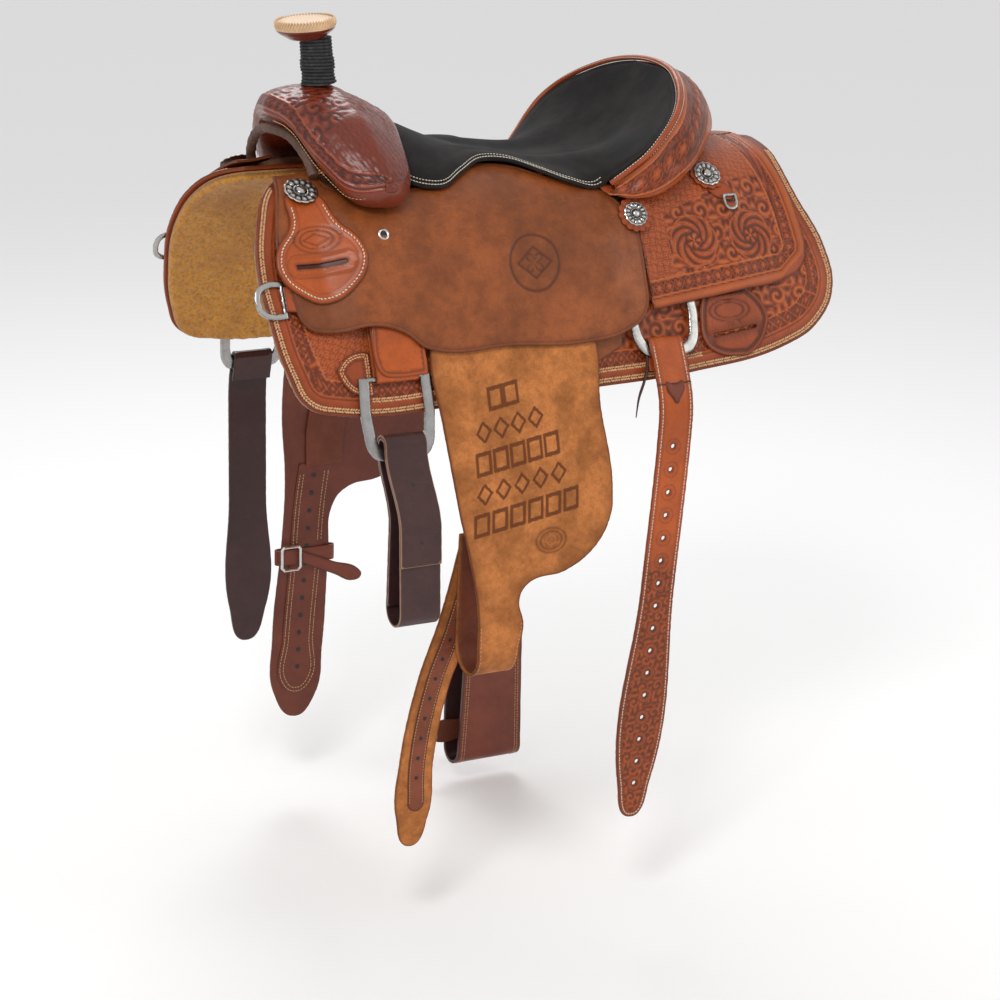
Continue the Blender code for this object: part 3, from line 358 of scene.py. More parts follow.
def panel(name, outlines, place, low, high, look, body, replaces=(), holes=(), relief=None,
          round_edge=0.0014,
          grid=0.006, rings=(0.0005, 0.0013, 0.0030), step=0.0035, fine=None, fine_grid=0.002, paint=None):
    """Leather cut to an outline and laid over a surface, with rounded edges and its tooling in relief."""
    loops = [curve_through(points, step) for points in outlines]
    cuts = [curve_through(points, min(step, 0.0016)) for points in holes]
    flat, faces, d = flat_layout(loops, cuts, grid, rings, step, fine, fine_grid)
    x, s = flat[:, 0], flat[:, 1]
    bottom = low(x, s) if callable(low) else low + 0 * x
    top = high(x, s) if callable(high) else high + 0 * x
    near = np.clip(round_edge - d, 0, round_edge)
    fall = round_edge - np.sqrt(np.maximum(round_edge**2 - near**2, 0))
    fall = np.minimum(fall, (top - bottom) * 0.42)
    rise, wear_and_shade = relief(x, s, d) if relief else (0 * x, 0 * x)
    wear_and_shade = wear_and_shade - 0.9 * line_at(d, 0, WORN_EDGE)
    if paint is not None:
        wear_and_shade = paint(x, s, d, wear_and_shade)
    upper = place(x, s, top - fall + rise * np.clip(d / RELIEF_FADE, 0, 1))
    under = place(x, s, bottom + fall)
    corner, second, third = upper[faces[0]]
    if np.cross(second - corner, third - corner) @ (corner - under[faces[0, 0]]) < 0:
        faces = faces[:, ::-1]
    count = len(flat)
    rim = outward(faces)
    sides = np.concatenate([
        np.stack([rim[:, 1], rim[:, 0], rim[:, 0] + count], -1),
        np.stack([rim[:, 1], rim[:, 0] + count, rim[:, 1] + count], -1),
    ])
    every = np.concatenate([faces, faces[:, ::-1] + count, sides])
    points = np.concatenate([upper, under])
    # Every under face is darkened by a flat -0.3: painted shade on the side that faces the layer below.
    return make_object(name, points, every, look, body, replaces, np.concatenate([wear_and_shade, wear_and_shade * 0 - 0.3]))


def grid_sheet(
    name, grid, thick, look, body, inner, replaces=(), relief=None, round_edge=0.0016, around=False
):
    """A closed sheet from a grid of points on its face, which looks away from the point inner."""
    rows, cols = grid.shape[:2]
    du = np.gradient(grid, axis=0)
    dv = np.gradient(grid, axis=1)
    if around:
        dv = (np.roll(grid, -1, 1) - np.roll(grid, 1, 1)) / 2
    normal = np.cross(du, dv)
    normal /= np.linalg.norm(normal, axis=2)[..., None] + 1e-12
    centre = grid.mean(1, keepdims=True) if around else np.array(inner)
    turned = np.sum(normal * (grid - centre)) < 0
    if turned:
        normal = -normal
    u = np.concatenate([np.zeros((1, cols)), np.cumsum(np.linalg.norm(np.diff(grid, axis=0), axis=2), 0)])
    v = np.concatenate([np.zeros((rows, 1)), np.cumsum(np.linalg.norm(np.diff(grid, axis=1), axis=2), 1)], 1)
    edge = np.minimum(u, u[-1] - u)
    if not around:
        edge = np.minimum(edge, np.minimum(v, v[:, -1:] - v))
    rise, wear_and_shade = relief(u, v, edge, grid) if relief else (0 * u, 0 * u)
    near = np.clip(round_edge - edge, 0, round_edge)
    fall = round_edge - np.sqrt(np.maximum(round_edge**2 - near**2, 0))
    fall = np.minimum(fall, abs(thick) * 0.42)
    upper = grid + normal * (rise * np.clip(edge / RELIEF_FADE, 0, 1) - fall)[..., None]
    under = grid - normal * (abs(thick) - fall)[..., None]
    index = np.arange(rows * cols).reshape(rows, cols)
    right = np.roll(index, -1, 1) if around else index[:, 1:]
    left = index if around else index[:, :-1]
    quads = np.stack([left[:-1], left[1:], right[1:], right[:-1]], -1).reshape(-1, 4)
    count = rows * cols
    faces = [quads, quads[:, ::-1] + count]
    borders = [index[0], index[-1][::-1]]
    if not around:
        borders += [index[:, 0][::-1], index[:, -1]]
    else:
        borders = [np.append(index[0], index[0, 0]), np.append(index[-1], index[-1, 0])[::-1]]
    for line in borders:
        a, b = line[:-1], line[1:]
        faces.append(np.stack([a, b, b + count, a + count], -1))
    points = np.concatenate([upper.reshape(-1, 3), under.reshape(-1, 3)])
    shade = np.concatenate([wear_and_shade.ravel(), wear_and_shade.ravel() * 0])
    faces = np.concatenate(faces)
    return make_object(name, points, faces[:, ::-1] if turned else faces, look, body, replaces, shade)


def swept(points, radius, sides=8, closed=False):
    """A tube's rings along points: its vertices and quads, with capped ends."""
    line = np.array(points, float)
    way = np.gradient(line, axis=0)
    if closed:
        way = np.roll(line, -1, 0) - np.roll(line, 1, 0)
    way /= np.linalg.norm(way, axis=1)[:, None] + 1e-12
    helper = np.array((0.0, 0.0, 1.0)) if abs(way[0][2]) < 0.8 else np.array((1.0, 0.0, 0.0))
    rows = []
    radii = np.broadcast_to(radius, len(line))
    for point, direction, r in zip(line, way, radii):
        a = np.cross(direction, helper)
        a /= np.linalg.norm(a)
        b = np.cross(direction, a)
        helper = np.cross(a, direction)
        rows.append(
            [point + r * (a * cos(2 * pi * i / sides) + b * sin(2 * pi * i / sides)) for i in range(sides)]
        )
    count = len(rows)
    faces = []
    for i in range(count if closed else count - 1):
        for k in range(sides):
            m = (k + 1) % sides
            j = (i + 1) % count
            faces.append((i * sides + m, i * sides + k, j * sides + k, j * sides + m))
    if not closed:
        faces.append(tuple(range(sides)))
        faces.append(tuple((count - 1) * sides + k for k in reversed(range(sides))))
    return np.array(rows).reshape(-1, 3), faces


class Heap:
    """Many small closed bodies gathered into one mesh."""

    def __init__(self):
        self.points, self.faces, self.count = [], [], 0

    def add(self, points, faces):
        self.points.append(points)
        self.faces += [tuple(i + self.count for i in face) for face in faces]
        self.count += len(points)

    def done(self, name, look, body, replaces=()):
        return make_object(name, np.vstack(self.points), self.faces, look, body, replaces)


GRAIN = [(cos(2 * pi * k / 6), sin(2 * pi * k / 6)) for k in range(6)]


def stitch(heap, point, way, normal, length, width, high):
    """One stitch: a rounded grain that lies along a direction, way, on a surface with this normal."""
    across = np.cross(normal, way)
    rings = ((-0.5, 0.45), (-0.28, 1.0), (0.28, 1.0), (0.5, 0.45))
    rows = []
    for along, swell in rings:
        for c, t in GRAIN:
            lift = high * (swell - 1) * 0.8
            middle = point + way * along * length
            rows.append(middle + across * c * width / 2 * swell + normal * (t * high * swell + lift))
    faces = []
    for i in range(3):
        for k in range(6):
            m = (k + 1) % 6
            faces.append((i * 6 + k, i * 6 + m, (i + 1) * 6 + m, (i + 1) * 6 + k))
    faces += [tuple(reversed(range(6))), tuple(18 + k for k in range(6))]
    heap.add(np.array(rows), faces)


def stitches(
    heap, line, place, height, pitch=0.0042, length=0.0036, width=0.0011, high=0.0006, slant=0.0, closed=True
):
    """Stitches along a line of (x, s), each lying on the surface at a height."""
    way = (np.roll(line, -1, 0) - np.roll(line, 1, 0)) if closed else np.gradient(line, axis=0)
    gap = lengths_along(line)
    wanted = np.arange(pitch / 2, gap[-1], pitch)
    chosen = np.clip(np.searchsorted(gap, wanted), 1, len(line) - 2)
    for i in chosen:
        if np.linalg.norm(line[i] - line[i - 1]) > 0.004:
            continue
        x, s = line[i]
        direction = way[i] / (np.linalg.norm(way[i]) + 1e-12)
        turned = direction * cos(slant) + np.array((-direction[1], direction[0])) * sin(slant)
        n = float(height(x, s)) if callable(height) else height
        here, ahead = place(x, s, n), place(x + turned[0] * 0.001, s + turned[1] * 0.001, n)
        normal = place(x, s, n + 0.002) - here
        along = (ahead - here) / (np.linalg.norm(ahead - here) + 1e-12)
        stitch(heap, here, along, unit(normal), length, width, high)


def border_line(outline, amount):
    """The line that runs at a distance inside an outline."""
    loop = curve_through(outline, 0.002)
    return drawn_in(loop, Edge([loop]), amount, 0.0011)


def stitch_rows(rows, outline, insets, place, height, sizes, keep=None, slant=0.0):
    """Rows of stitches inside an outline, where keep(x, s) is true. sizes: the pitch and a stitch's own."""
    for inset in insets:
        line = border_line(outline, inset)
        stitches(rows, line[keep(*line.T)] if keep else line, place, height, *sizes, slant)


def stitched(name, look, body, *rows_inside):
    """A piece made of the stitch rows that stitch_rows would add."""
    rows = Heap()
    for given in rows_inside:
        stitch_rows(rows, *given)
    rows.done(name, look, body)


def circle_on(place, x, s, radius, height, count=14):
    """Points round a circle that lies at a height over a surface."""
    turns = np.linspace(0, 2 * pi, count, endpoint=False)
    return [place(x + radius * cos(t), s + radius * sin(t), height) for t in turns]


def add_peg(heap, place, x, s, radius, top, foot, count=14):
    """A short round peg between two heights over a surface."""
    ends = [*circle_on(place, x, s, radius, top, count), *circle_on(place, x, s, radius, foot, count)]
    faces = [tuple(range(count)), tuple(reversed(range(count, 2 * count)))]
    faces += [((k + 1) % count, k, count + k, count + (k + 1) % count) for k in range(count)]
    heap.add(np.array(ends), faces)


def punched(place, spots, radius, height, name, body):
    """Punched holes on a strap's face, drawn as dark pegs: painted shade in the holes."""
    heap = Heap()
    for x, s in spots:
        add_peg(heap, place, x, s, radius, height + 0.0003, height - 0.0006)
    heap.done(name, HOLE_SHADE, body)


# Materials


def node(tree, kind, inputs=None, **settings):
    made = tree.nodes.new(kind)
    for key, value in settings.items():
        setattr(made, key, value)
    for key, value in (inputs or {}).items():
        if isinstance(value, bpy.types.NodeSocket):
            tree.links.new(value, made.inputs[key])
        else:
            made.inputs[key].default_value = value
    return made


def mixed(tree, share, first, second):
    made = node(tree, "ShaderNodeMix", data_type="RGBA")
    for key, value in ((0, share), (6, first), (7, second)):
        if isinstance(value, bpy.types.NodeSocket):
            tree.links.new(value, made.inputs[key])
        else:
            made.inputs[key].default_value = (*value, 1) if isinstance(value, tuple) else value
    return made.outputs[2]


def ramp(tree, value, low, high):
    made = node(tree, "ShaderNodeMapRange", {0: value, 1: low, 2: high}, interpolation_type="SMOOTHSTEP")
    return made.outputs[0]


def blank(name, roughness, metallic=0.0):
    material = bpy.data.materials.new(name)
    material.use_nodes = True
    tree = material.node_tree
    shader = tree.nodes["Principled BSDF"]
    shader.inputs["Roughness"].default_value = roughness
    shader.inputs["Metallic"].default_value = metallic
    place = node(tree, "ShaderNodeTexCoord").outputs["Object"]
    return material, tree, shader, place


def noise(tree, place, scale, detail, rough, stretch=None):
    if stretch:
        place = node(tree, "ShaderNodeMapping", {"Vector": place, "Scale": stretch}).outputs[0]
    inputs = {"Vector": place, "Scale": scale, "Detail": detail, "Roughness": rough}
    return node(tree, "ShaderNodeTexNoise", inputs).outputs[0]


def times(tree, value, factor):
    return node(tree, "ShaderNodeMath", {0: value, 1: factor}, operation="MULTIPLY").outputs[0]


def wear_and_shade_share(tree, end, most):
    """A share from none at wear 0 to the most at an end: -1 for hollows and painted shade, 1 for rubbed
    heights.
    """
    wear_and_shade = node(tree, "ShaderNodeAttribute", attribute_name="wear_and_shade").outputs["Fac"]
    return node(tree, "ShaderNodeMapRange", {0: wear_and_shade, 1: 0.0, 2: end, 3: 0.0, 4: most}).outputs[0]


def paint(tree, shader, colour):
    tree.links.new(colour, shader.inputs["Base Color"])


def bump(tree, shader, height, strength, distance, before=None):
    inputs = {"Height": height, "Strength": strength, "Distance": distance}
    if before is not None:
        inputs["Normal"] = before
    made = node(tree, "ShaderNodeBump", inputs).outputs[0]
    tree.links.new(made, shader.inputs["Normal"])
    return made


def tinted(colour, share):
    return tuple(min(1, c * share) for c in colour)


def leather(name, base, dark, light, roughness, mottle, scuffs, grain, stipple=0.0, coat=0.0, patches=14):
    """Mottled dye, pores and wrinkles, pale scuffs, and the wear value's dark hollows, painted shade and
    rubbed heights.
    """
    material, tree, shader, place = blank(name, roughness)
    big = ramp(tree, noise(tree, place, patches, 5, 0.65), 0.34, 0.68)
    colour = mixed(tree, big, tinted(base, 1 - 0.30 * mottle), tinted(base, 1 + 0.28 * mottle))
    mid = ramp(tree, noise(tree, place, patches * 6, 6, 0.7), 0.36, 0.74)
    colour = mixed(tree, times(tree, mid, 0.42 * mottle), colour, dark)
    fleck = ramp(tree, noise(tree, place, 420, 3, 0.6), 0.50, 0.75)
    colour = mixed(tree, times(tree, fleck, 0.30 * mottle), colour, dark)
    scratch = ramp(tree, noise(tree, place, 60, 2, 0.5, (1.0, 1.0, 9.0)), 0.66, 0.72)
    across = ramp(tree, noise(tree, place, 55, 2, 0.5, (8.0, 1.0, 1.5)), 0.67, 0.73)
    both = node(tree, "ShaderNodeMath", {0: scratch, 1: across}, operation="MAXIMUM").outputs[0]
    colour = mixed(tree, times(tree, both, scuffs), colour, light)
    colour = mixed(tree, wear_and_shade_share(tree, -1.0, 0.92), colour, tinted(dark, 0.75))
    paint(tree, shader, mixed(tree, wear_and_shade_share(tree, 1.0, 0.75), colour, light))
    shine = node(tree, "ShaderNodeMapRange", {0: big, 3: roughness + 0.08, 4: roughness - 0.08}).outputs[0]
    tree.links.new(shine, shader.inputs["Roughness"])
    pores = node(
        tree, "ShaderNodeTexVoronoi", {"Vector": place, "Scale": 700.0}, feature="DISTANCE_TO_EDGE"
    ).outputs[0]
    first = bump(tree, shader, pores, grain, 0.0004)
    second = bump(tree, shader, noise(tree, place, 130, 5, 0.65), 0.25, 0.0012, first)
    if stipple:
        dots = node(tree, "ShaderNodeTexVoronoi", {"Vector": place, "Scale": 330.0}, feature="F1").outputs[0]
        bump(tree, shader, dots, stipple, 0.0009, second)
    if coat:
        shader.inputs["Coat Weight"].default_value = coat
        shader.inputs["Coat Roughness"].default_value = 0.3
    shader.inputs["Specular IOR Level"].default_value = 0.26
    return material


def metal(name, colour, dark, roughness=0.3):
    """Cast metal: a cloudy tone, and a dark finish in the hollows that the wear value gives, with painted
    shade on under faces and on a concho's rim wall and back.
    """
    material, tree, shader, place = blank(name, roughness, 1.0)
    cloud = ramp(tree, noise(tree, place, 60, 5, 0.7), 0.35, 0.75)
    tone = mixed(tree, cloud, colour, tinted(colour, 0.78))
    paint(tree, shader, mixed(tree, wear_and_shade_share(tree, -1.0, 0.95), tone, dark))
    shine = {0: noise(tree, place, 70, 3, 0.6), 3: roughness - 0.06, 4: roughness + 0.10}
    tree.links.new(node(tree, "ShaderNodeMapRange", shine).outputs[0], shader.inputs["Roughness"])
    bump(tree, shader, noise(tree, place, 240, 2, 0.5), 0.03, 0.0002)
    return material


def suede():
    material, tree, shader, place = blank("black_suede", 0.95)
    nap = noise(tree, place, 1400, 3, 0.7)
    patch = ramp(tree, noise(tree, place, 22, 5, 0.6), 0.35, 0.7)
    tone = mixed(tree, patch, (0.010, 0.009, 0.009), (0.022, 0.019, 0.018))
    speck = ramp(tree, nap, 0.55, 0.75)
    paint(tree, shader, mixed(tree, times(tree, speck, 0.35), tone, (0.050, 0.044, 0.040)))
    shader.inputs["Sheen Weight"].default_value = 0.06
    shader.inputs["Sheen Roughness"].default_value = 0.5
    shader.inputs["Specular IOR Level"].default_value = 0.15
    bump(tree, shader, nap, 0.5, 0.0006)
    return material


def wool():
    material, tree, shader, place = blank("gold_wool", 1.0)
    curl = noise(tree, place, 240, 6, 0.75)
    tone = mixed(tree, ramp(tree, curl, 0.30, 0.58), (0.34, 0.110, 0.006), (0.86, 0.38, 0.025))
    patch = ramp(tree, noise(tree, place, 16, 4, 0.6), 0.40, 0.72)
    tone = mixed(tree, times(tree, patch, 0.5), tone, (0.46, 0.17, 0.012))
    paint(tree, shader, mixed(tree, wear_and_shade_share(tree, -1.0, 0.85), tone, (0.12, 0.040, 0.005)))
    shader.inputs["Sheen Weight"].default_value = 0.5
    shader.inputs["Specular IOR Level"].default_value = 0.1
    first = bump(tree, shader, curl, 0.9, 0.004)
    bump(tree, shader, noise(tree, place, 900, 3, 0.7), 0.6, 0.001, first)
    return material


def thread(name, colour, roughness=0.7):
    material, tree, shader, place = blank(name, roughness)
    share = ramp(tree, noise(tree, place, 300, 3, 0.6), 0.3, 0.75)
    paint(tree, shader, mixed(tree, share, colour, tinted(colour, 0.62)))
    bump(tree, shader, noise(tree, place, 2200, 2, 0.5), 0.3, 0.0003)
    return material


def rubber():
    material, tree, shader, place = blank("horn_rubber", 0.75)
    dust = ramp(tree, noise(tree, place, 180, 6, 0.7), 0.42, 0.74)
    tone = mixed(tree, dust, (0.016, 0.016, 0.017), (0.058, 0.057, 0.058))
    paint(tree, shader, mixed(tree, wear_and_shade_share(tree, -1.0, 0.9), tone, (0.006, 0.006, 0.006)))
    bump(tree, shader, noise(tree, place, 900, 4, 0.7), 0.4, 0.0006)
    return material


def wood():
    material, tree, shader, place = blank("tree_wood", 0.6)
    wave = {"Vector": place, "Scale": 18.0, "Distortion": 6.0, "Detail": 3.0, "Detail Scale": 2.0}
    rings = node(tree, "ShaderNodeTexWave", wave, bands_direction="Y").outputs["Fac"]
    paint(tree, shader, mixed(tree, rings, (0.16, 0.075, 0.035), (0.090, 0.038, 0.018)))
    bump(tree, shader, noise(tree, place, 90, 4, 0.6, (1, 8, 8)), 0.2, 0.001)
    return material


JOCKEY = leather(
    "jockey_leather", (0.250, 0.064, 0.014), (0.10, 0.022, 0.006), (0.50, 0.20, 0.07),
    roughness=0.46, mottle=1.0, scuffs=0.10, grain=0.22, coat=0.15, patches=11,
)
TOOLED = leather(
    "tooled_leather", (0.320, 0.058, 0.012), (0.075, 0.014, 0.004), (0.62, 0.19, 0.045),
    roughness=0.36, mottle=0.45, scuffs=0.0, grain=0.15, stipple=0.35, coat=0.16,
)
ORANGE = leather(
    "keeper_leather", (0.42, 0.080, 0.012), (0.12, 0.022, 0.005), (0.68, 0.24, 0.055),
    roughness=0.34, mottle=0.5, scuffs=0.03, grain=0.18, coat=0.20,
)
FORKED = leather(
    "fork_leather", (0.170, 0.024, 0.009), (0.035, 0.006, 0.004), (0.42, 0.090, 0.030),
    roughness=0.32, mottle=0.5, scuffs=0.0, grain=0.15, stipple=0.25, coat=0.40,
)
ROUGH = leather(
    "fender_leather", (0.45, 0.155, 0.040), (0.16, 0.042, 0.010), (0.66, 0.31, 0.11),
    roughness=0.75, mottle=1.0, scuffs=0.05, grain=0.40, patches=20,
)
INNER = leather(
    "inner_leather", (0.20, 0.052, 0.024), (0.075, 0.020, 0.011), (0.38, 0.15, 0.07),
    roughness=0.50, mottle=0.6, scuffs=0.2, grain=0.25,
)
LATIGO = leather(
    "latigo_leather", (0.050, 0.018, 0.016), (0.016, 0.007, 0.007), (0.40, 0.19, 0.09),
    roughness=0.38, mottle=0.6, scuffs=0.05, grain=0.35, coat=0.3,
)
STRAP = leather(
    "strap_leather", (0.175, 0.038, 0.018), (0.060, 0.014, 0.008), (0.36, 0.12, 0.06),
    roughness=0.44, mottle=0.5, scuffs=0.08, grain=0.2, coat=0.2,
)
# The gullet roll is the fork's lip; its grey-brown colour is the fork's leather as it looks in shade:
# painted shade.
RIM_SHADE = leather(
    "rim_painted_shade", (0.115, 0.062, 0.045), (0.040, 0.020, 0.015), (0.34, 0.23, 0.17),
    roughness=0.5, mottle=0.8, scuffs=0.3, grain=0.4,
)
RAWHIDE = leather(
    "rawhide", (0.66, 0.44, 0.25), (0.33, 0.15, 0.06), (0.86, 0.72, 0.52),
    roughness=0.40, mottle=0.5, scuffs=0.1, grain=0.2, coat=0.3,
)
STEEL = metal("flat_steel", (0.52, 0.51, 0.50), (0.10, 0.09, 0.08), 0.25)
SILVER = metal("antique_silver", (0.66, 0.65, 0.62), (0.020, 0.018, 0.016), 0.24)
SUEDE = suede()
WOOL = wool()
WOOD = wood()
RUBBER = rubber()
WHITE = thread("white_thread", (0.74, 0.66, 0.54))
ROPE = thread("rope_leather", (0.70, 0.40, 0.20), 0.5)
TAN = thread("tan_thread", (0.62, 0.40, 0.20))
# Dark pegs, rings and discs in the punched holes and the grommet: painted shade in the holes.
HOLE_SHADE = thread("hole_shade", (0.020, 0.017, 0.017), 0.6)


# Tooling, as heights over the leather and wear from -1, a dark hollow, to +1, a rubbed height; the same
# value also holds painted shade on faces that lie in shade


def basket(x, s, size=0.0095, tilt=0.35):
    """Basket weave: cells with raised strands that run by turns along and across."""
    u, v = (x * cos(tilt) + s * sin(tilt)) / size, (-x * sin(tilt) + s * cos(tilt)) / size
    odd = (np.floor(u) + np.floor(v)) % 2 == 0
    a, b = np.where(odd, u, v) % 1, np.where(odd, v, u) % 1
    strand = np.abs(np.sin(b * pi * 3)) ** 0.6 * np.sin(a * pi) ** 0.35
    return 0.00085 * strand, strand * 1.15 - 0.65


def scrolls(x, s, size, turn=0.0):
    """Leafy scrolls: swirls on a staggered lattice, with veined leaves curling out of each."""
    u, v = x / size, s / size
    row = np.floor(v / 0.866)
    u0 = u - 0.5 * (row % 2)
    cu, cv = np.floor(u0) + 0.5 + 0.5 * (row % 2), (row + 0.5) * 0.866
    du, dv = u - cu, v - cv
    r = np.hypot(du, dv)
    a = np.arctan2(dv, du) + turn * ((np.floor(u0) + row) % 2 * 2 - 1)
    hand = (np.floor(u0) + row) % 2 * 2 - 1
    spiral = np.cos(2 * pi * (r * 3.1 - hand * a / (2 * pi))) * np.clip(1.1 - r * 1.3, 0, 1)
    leaf = np.sin(7 * a + hand * r * 9) * np.clip((r - 0.30) * 4, 0, 1)
    swell = np.where(r < 0.36, spiral, leaf)
    return np.clip(0.55 + 0.65 * swell, 0, 1)


def medallion(x, s, cx, cs, radius, hand=1.0):
    """A round spray of curled leaves about a small flower. Returns the height and where it applies."""
    u, v = (x - cx) / radius, (s - cs) / radius
    r, a = np.hypot(u, v), np.arctan2(v, u)
    sweep = a + hand * 2.6 * r
    leaf = np.clip(0.62 + 0.62 * np.cos(7 * sweep), 0, 1) * np.clip((r - 0.34) * 9, 0, 1)
    vein = 0.35 * np.exp(-((np.cos(7 * sweep) - 1) ** 2) / 0.004)
    rib = 0.22 * np.clip(np.cos(28 * r - 3 * np.cos(7 * sweep)), 0, 1)
    petals = np.clip(0.55 + 0.6 * np.cos(5 * a), 0, 1) * (r > 0.09) + 0.9 * (r <= 0.07)
    amount = np.where(r < 0.34, petals * np.clip((0.33 - r) * 14, 0, 1), leaf * (1 - vein) * (1 - rib))
    amount = np.maximum(amount, line_at(r, 0.98, 0.045))
    return np.clip(amount, 0, 1), r < 1.06


def x_border(along, across):
    """A border of crosses between blossoms. along runs down the border and across is -1 to 1 over it."""
    a = (along / 0.016) % 1 - 0.5
    b = across / 2
    cross = line_at(np.abs(a), np.abs(b), 0.055)
    bud = np.clip(1 - (np.hypot(np.abs(a) - 0.5, b) / 0.20) ** 2, 0, 1)
    return np.clip(cross + bud, 0, 1)


def bloom_border(along, across, size=0.015):
    """A row of small ringed blossoms."""
    a = ((along / size) % 1 - 0.5) * 2
    r = np.hypot(a, across * 0.95)
    angle = np.arctan2(across, a)
    petals = np.clip((0.62 + 0.12 * np.cos(6 * angle) - r) / 0.12, 0, 1)
    ring = line_at(r, 0.88, 0.09)
    return np.clip(np.maximum(petals * 0.7 + np.clip(1 - (r / 0.25) ** 2, 0, 1) * 0.4, ring * 0.8), 0, 1)


def carved(amount, depth=0.0011):
    """Relief and wear for a carving from 0, the lowered ground, to 1, the leather's own face."""
    return (amount - 0.8) * depth, amount * 1.35 - 0.95


# Skirts, fleeces, jockeys

SKIRT = (
    (-0.312, CHANNEL, 1),
    (-0.338, 0.078),
    (-0.359, 0.119),
    (-0.375, 0.180),
    (-0.372, 0.252),
    (-0.358, 0.321),
    (-0.340, 0.358),
    (-0.300, SKIRT_DROP),
    (-0.100, 0.375),
    (0.059, SKIRT_DROP),
    (0.200, 0.367),
    (0.349, 0.344),
    (0.400, 0.318),
    (0.429, 0.275),
    (0.428, 0.220),
    (0.400, 0.128),
    (0.402, 0.060),
    (0.408, 0.0012, 1),
    (0.300, 0.0012, 1),
    (0.285, CHANNEL, 1),
    (0.210, CHANNEL, 1),
    (0.170, 0.083, 1),
    (-0.080, 0.083, 1),
    (-0.130, CHANNEL, 1),
)


def skirt_relief(x, s, d):
    """A ground for the lacing, a channel and a crossed border, then basket weave forward and scrolls aft."""
    border = (d > 0.0235) & (d < 0.0405)
    inner = d >= 0.0425
    along = np.where((x < -0.33) | (x > 0.40), s, x)
    b_rise, b_wear = carved(x_border(along, (d - 0.0320) / 0.0085))
    weave, weave_wear = basket(x, s)
    leaf, leaf_wear = carved(scrolls(x, s, 0.034), 0.0013)
    rise = np.where(border, b_rise, 0.0)
    wear_and_shade = np.where(border, b_wear * 0.8, 0.05)
    rise = np.where(inner, np.where(x < 0.10, weave - 0.0006, leaf), rise)
    wear_and_shade = np.where(inner, np.where(x < 0.10, weave_wear, leaf_wear), wear_and_shade)
    for at in (0.0130, 0.0215, 0.0415):
        rise = rise + line_at(d, at, 0.0010, 0.0009)
        wear_and_shade = wear_and_shade + line_at(d, at, 0.0010, 0.7)
    wear_and_shade = wear_and_shade - line_at(d, 0.0112, 0.0008, 0.9) - line_at(d, 0.0197, 0.0009, 0.8)
    rope = (d > 0.0028) & (d < 0.0108)
    wear_and_shade = np.where(rope, -0.75, wear_and_shade)
    return rise, np.clip(wear_and_shade, -1, 0.8)


def skirt_fine(x, s):
    return (s > 0.262) | (x < -0.325) | (x > 0.375)


def make_skirts(tag, side):
    place = BODY.over(side)
    panel(
        f"skirt_leather_{tag}", [SKIRT], place, -SKIRT_LEATHER, 0.0, TOOLED, "saddle", [f"skirt_{tag}"],
        relief=skirt_relief, grid=0.007, rings=(
            0.0005, 0.0013, 0.003, 0.0175, 0.0185, 0.0195, 0.0225
        ), fine=skirt_fine,
        fine_grid=0.0021,
    )

    def by_the_edge(x, s):
        return (s > 0.062) & skirt_fine(x, s)

    def below_the_strap(x, s):
        return (s > 0.30) & (x > -0.255) & (x < 0.215)

    rows = (
        (0.0052, 0.5, by_the_edge), (0.0085, -0.5, by_the_edge), (0.0185, 0.5, below_the_strap),
        (0.0218, -0.5, below_the_strap)
    )
    lace = (0.0036, 0.0042, 0.0024, 0.0014)
    stitched(
        f"skirt_lacing_{tag}", ROPE, "saddle",
        *((SKIRT, [at], place, 0.0004, lace, keep, slant) for at, slant, keep in rows)
    )
    middle = np.array((0.02, 0.18))
    wool_outline = []
    for x, s, *corner in SKIRT:
        inward = middle - np.array((x, s))
        moved = np.array((x, s)) + inward / np.linalg.norm(inward) * 0.003
        wool_outline.append((moved[0], moved[1], *corner))
    rng = np.random.default_rng(5)
    waves = [(rng.uniform(90, 420, 2) * rng.choice((-1, 1), 2), rng.uniform(0, 2 * pi)) for _ in range(14)]

    def tufts(x, s):
        return sum(np.sin(x * k[0] + s * k[1] + p) for k, p in waves) / len(waves)

    def low(x, s):
        return -SKIRT_LEATHER - LAYER_GAP - FLEECE + 0.0035 * tufts(x, s) + 0.0010

    fleece = panel(
        f"fleece_wool_{tag}", [wool_outline], place, low, -SKIRT_LEATHER - LAYER_GAP, WOOL, "saddle",
        [f"fleece_{tag}"],
        round_edge=0.006, grid=0.0045, rings=(0.0008, 0.002, 0.004, 0.006), step=0.003,
    )


SEAT_JOCKEY = (
    (-0.318, 0.056, 1),
    (-0.326, 0.084),
    (-0.341, 0.125),
    (-0.349, 0.165),
    (-0.342, 0.230),
    (-0.330, 0.264),
    (-0.300, 0.274),
    (-0.240, 0.273),
    (-0.208, 0.284),
    (-0.180, 0.305),
    (-0.060, 0.312),
    (0.040, 0.317),
    (0.105, 0.306),
    (0.132, 0.287),
    (0.140, 0.240),
    (0.143, 0.170, 1),
    (0.118, 0.138),
    (0.095, 0.122),
    (0.060, 0.112),
    (0.028, 0.094),
    (0.000, 0.078),
    (-0.045, 0.068),
    (-0.080, 0.078),
    (-0.110, 0.098),
    (-0.150, 0.104),
    (-0.200, 0.104),
    (-0.258, 0.092),
    (-0.266, 0.058, 1),
)


def motif(x, s, cx, cs, size):
    """A plain stamped motif: a diamond in a ring, with four small leaves."""
    u, v = (x - cx) / size, (s - cs) / size
    r = np.hypot(u, v)
    diamond = np.abs(np.abs(u) * 0.8 + np.abs(v) - 0.55)
    ring = np.abs(r - 1.0)
    leaves = np.abs(np.abs(np.sin(2 * np.arctan2(v, u))) * 0.42 - r)
    nearest = np.minimum(np.minimum(diamond, ring), np.where(r < 0.46, leaves, 9))
    return line_at(nearest, 0, 0.055)


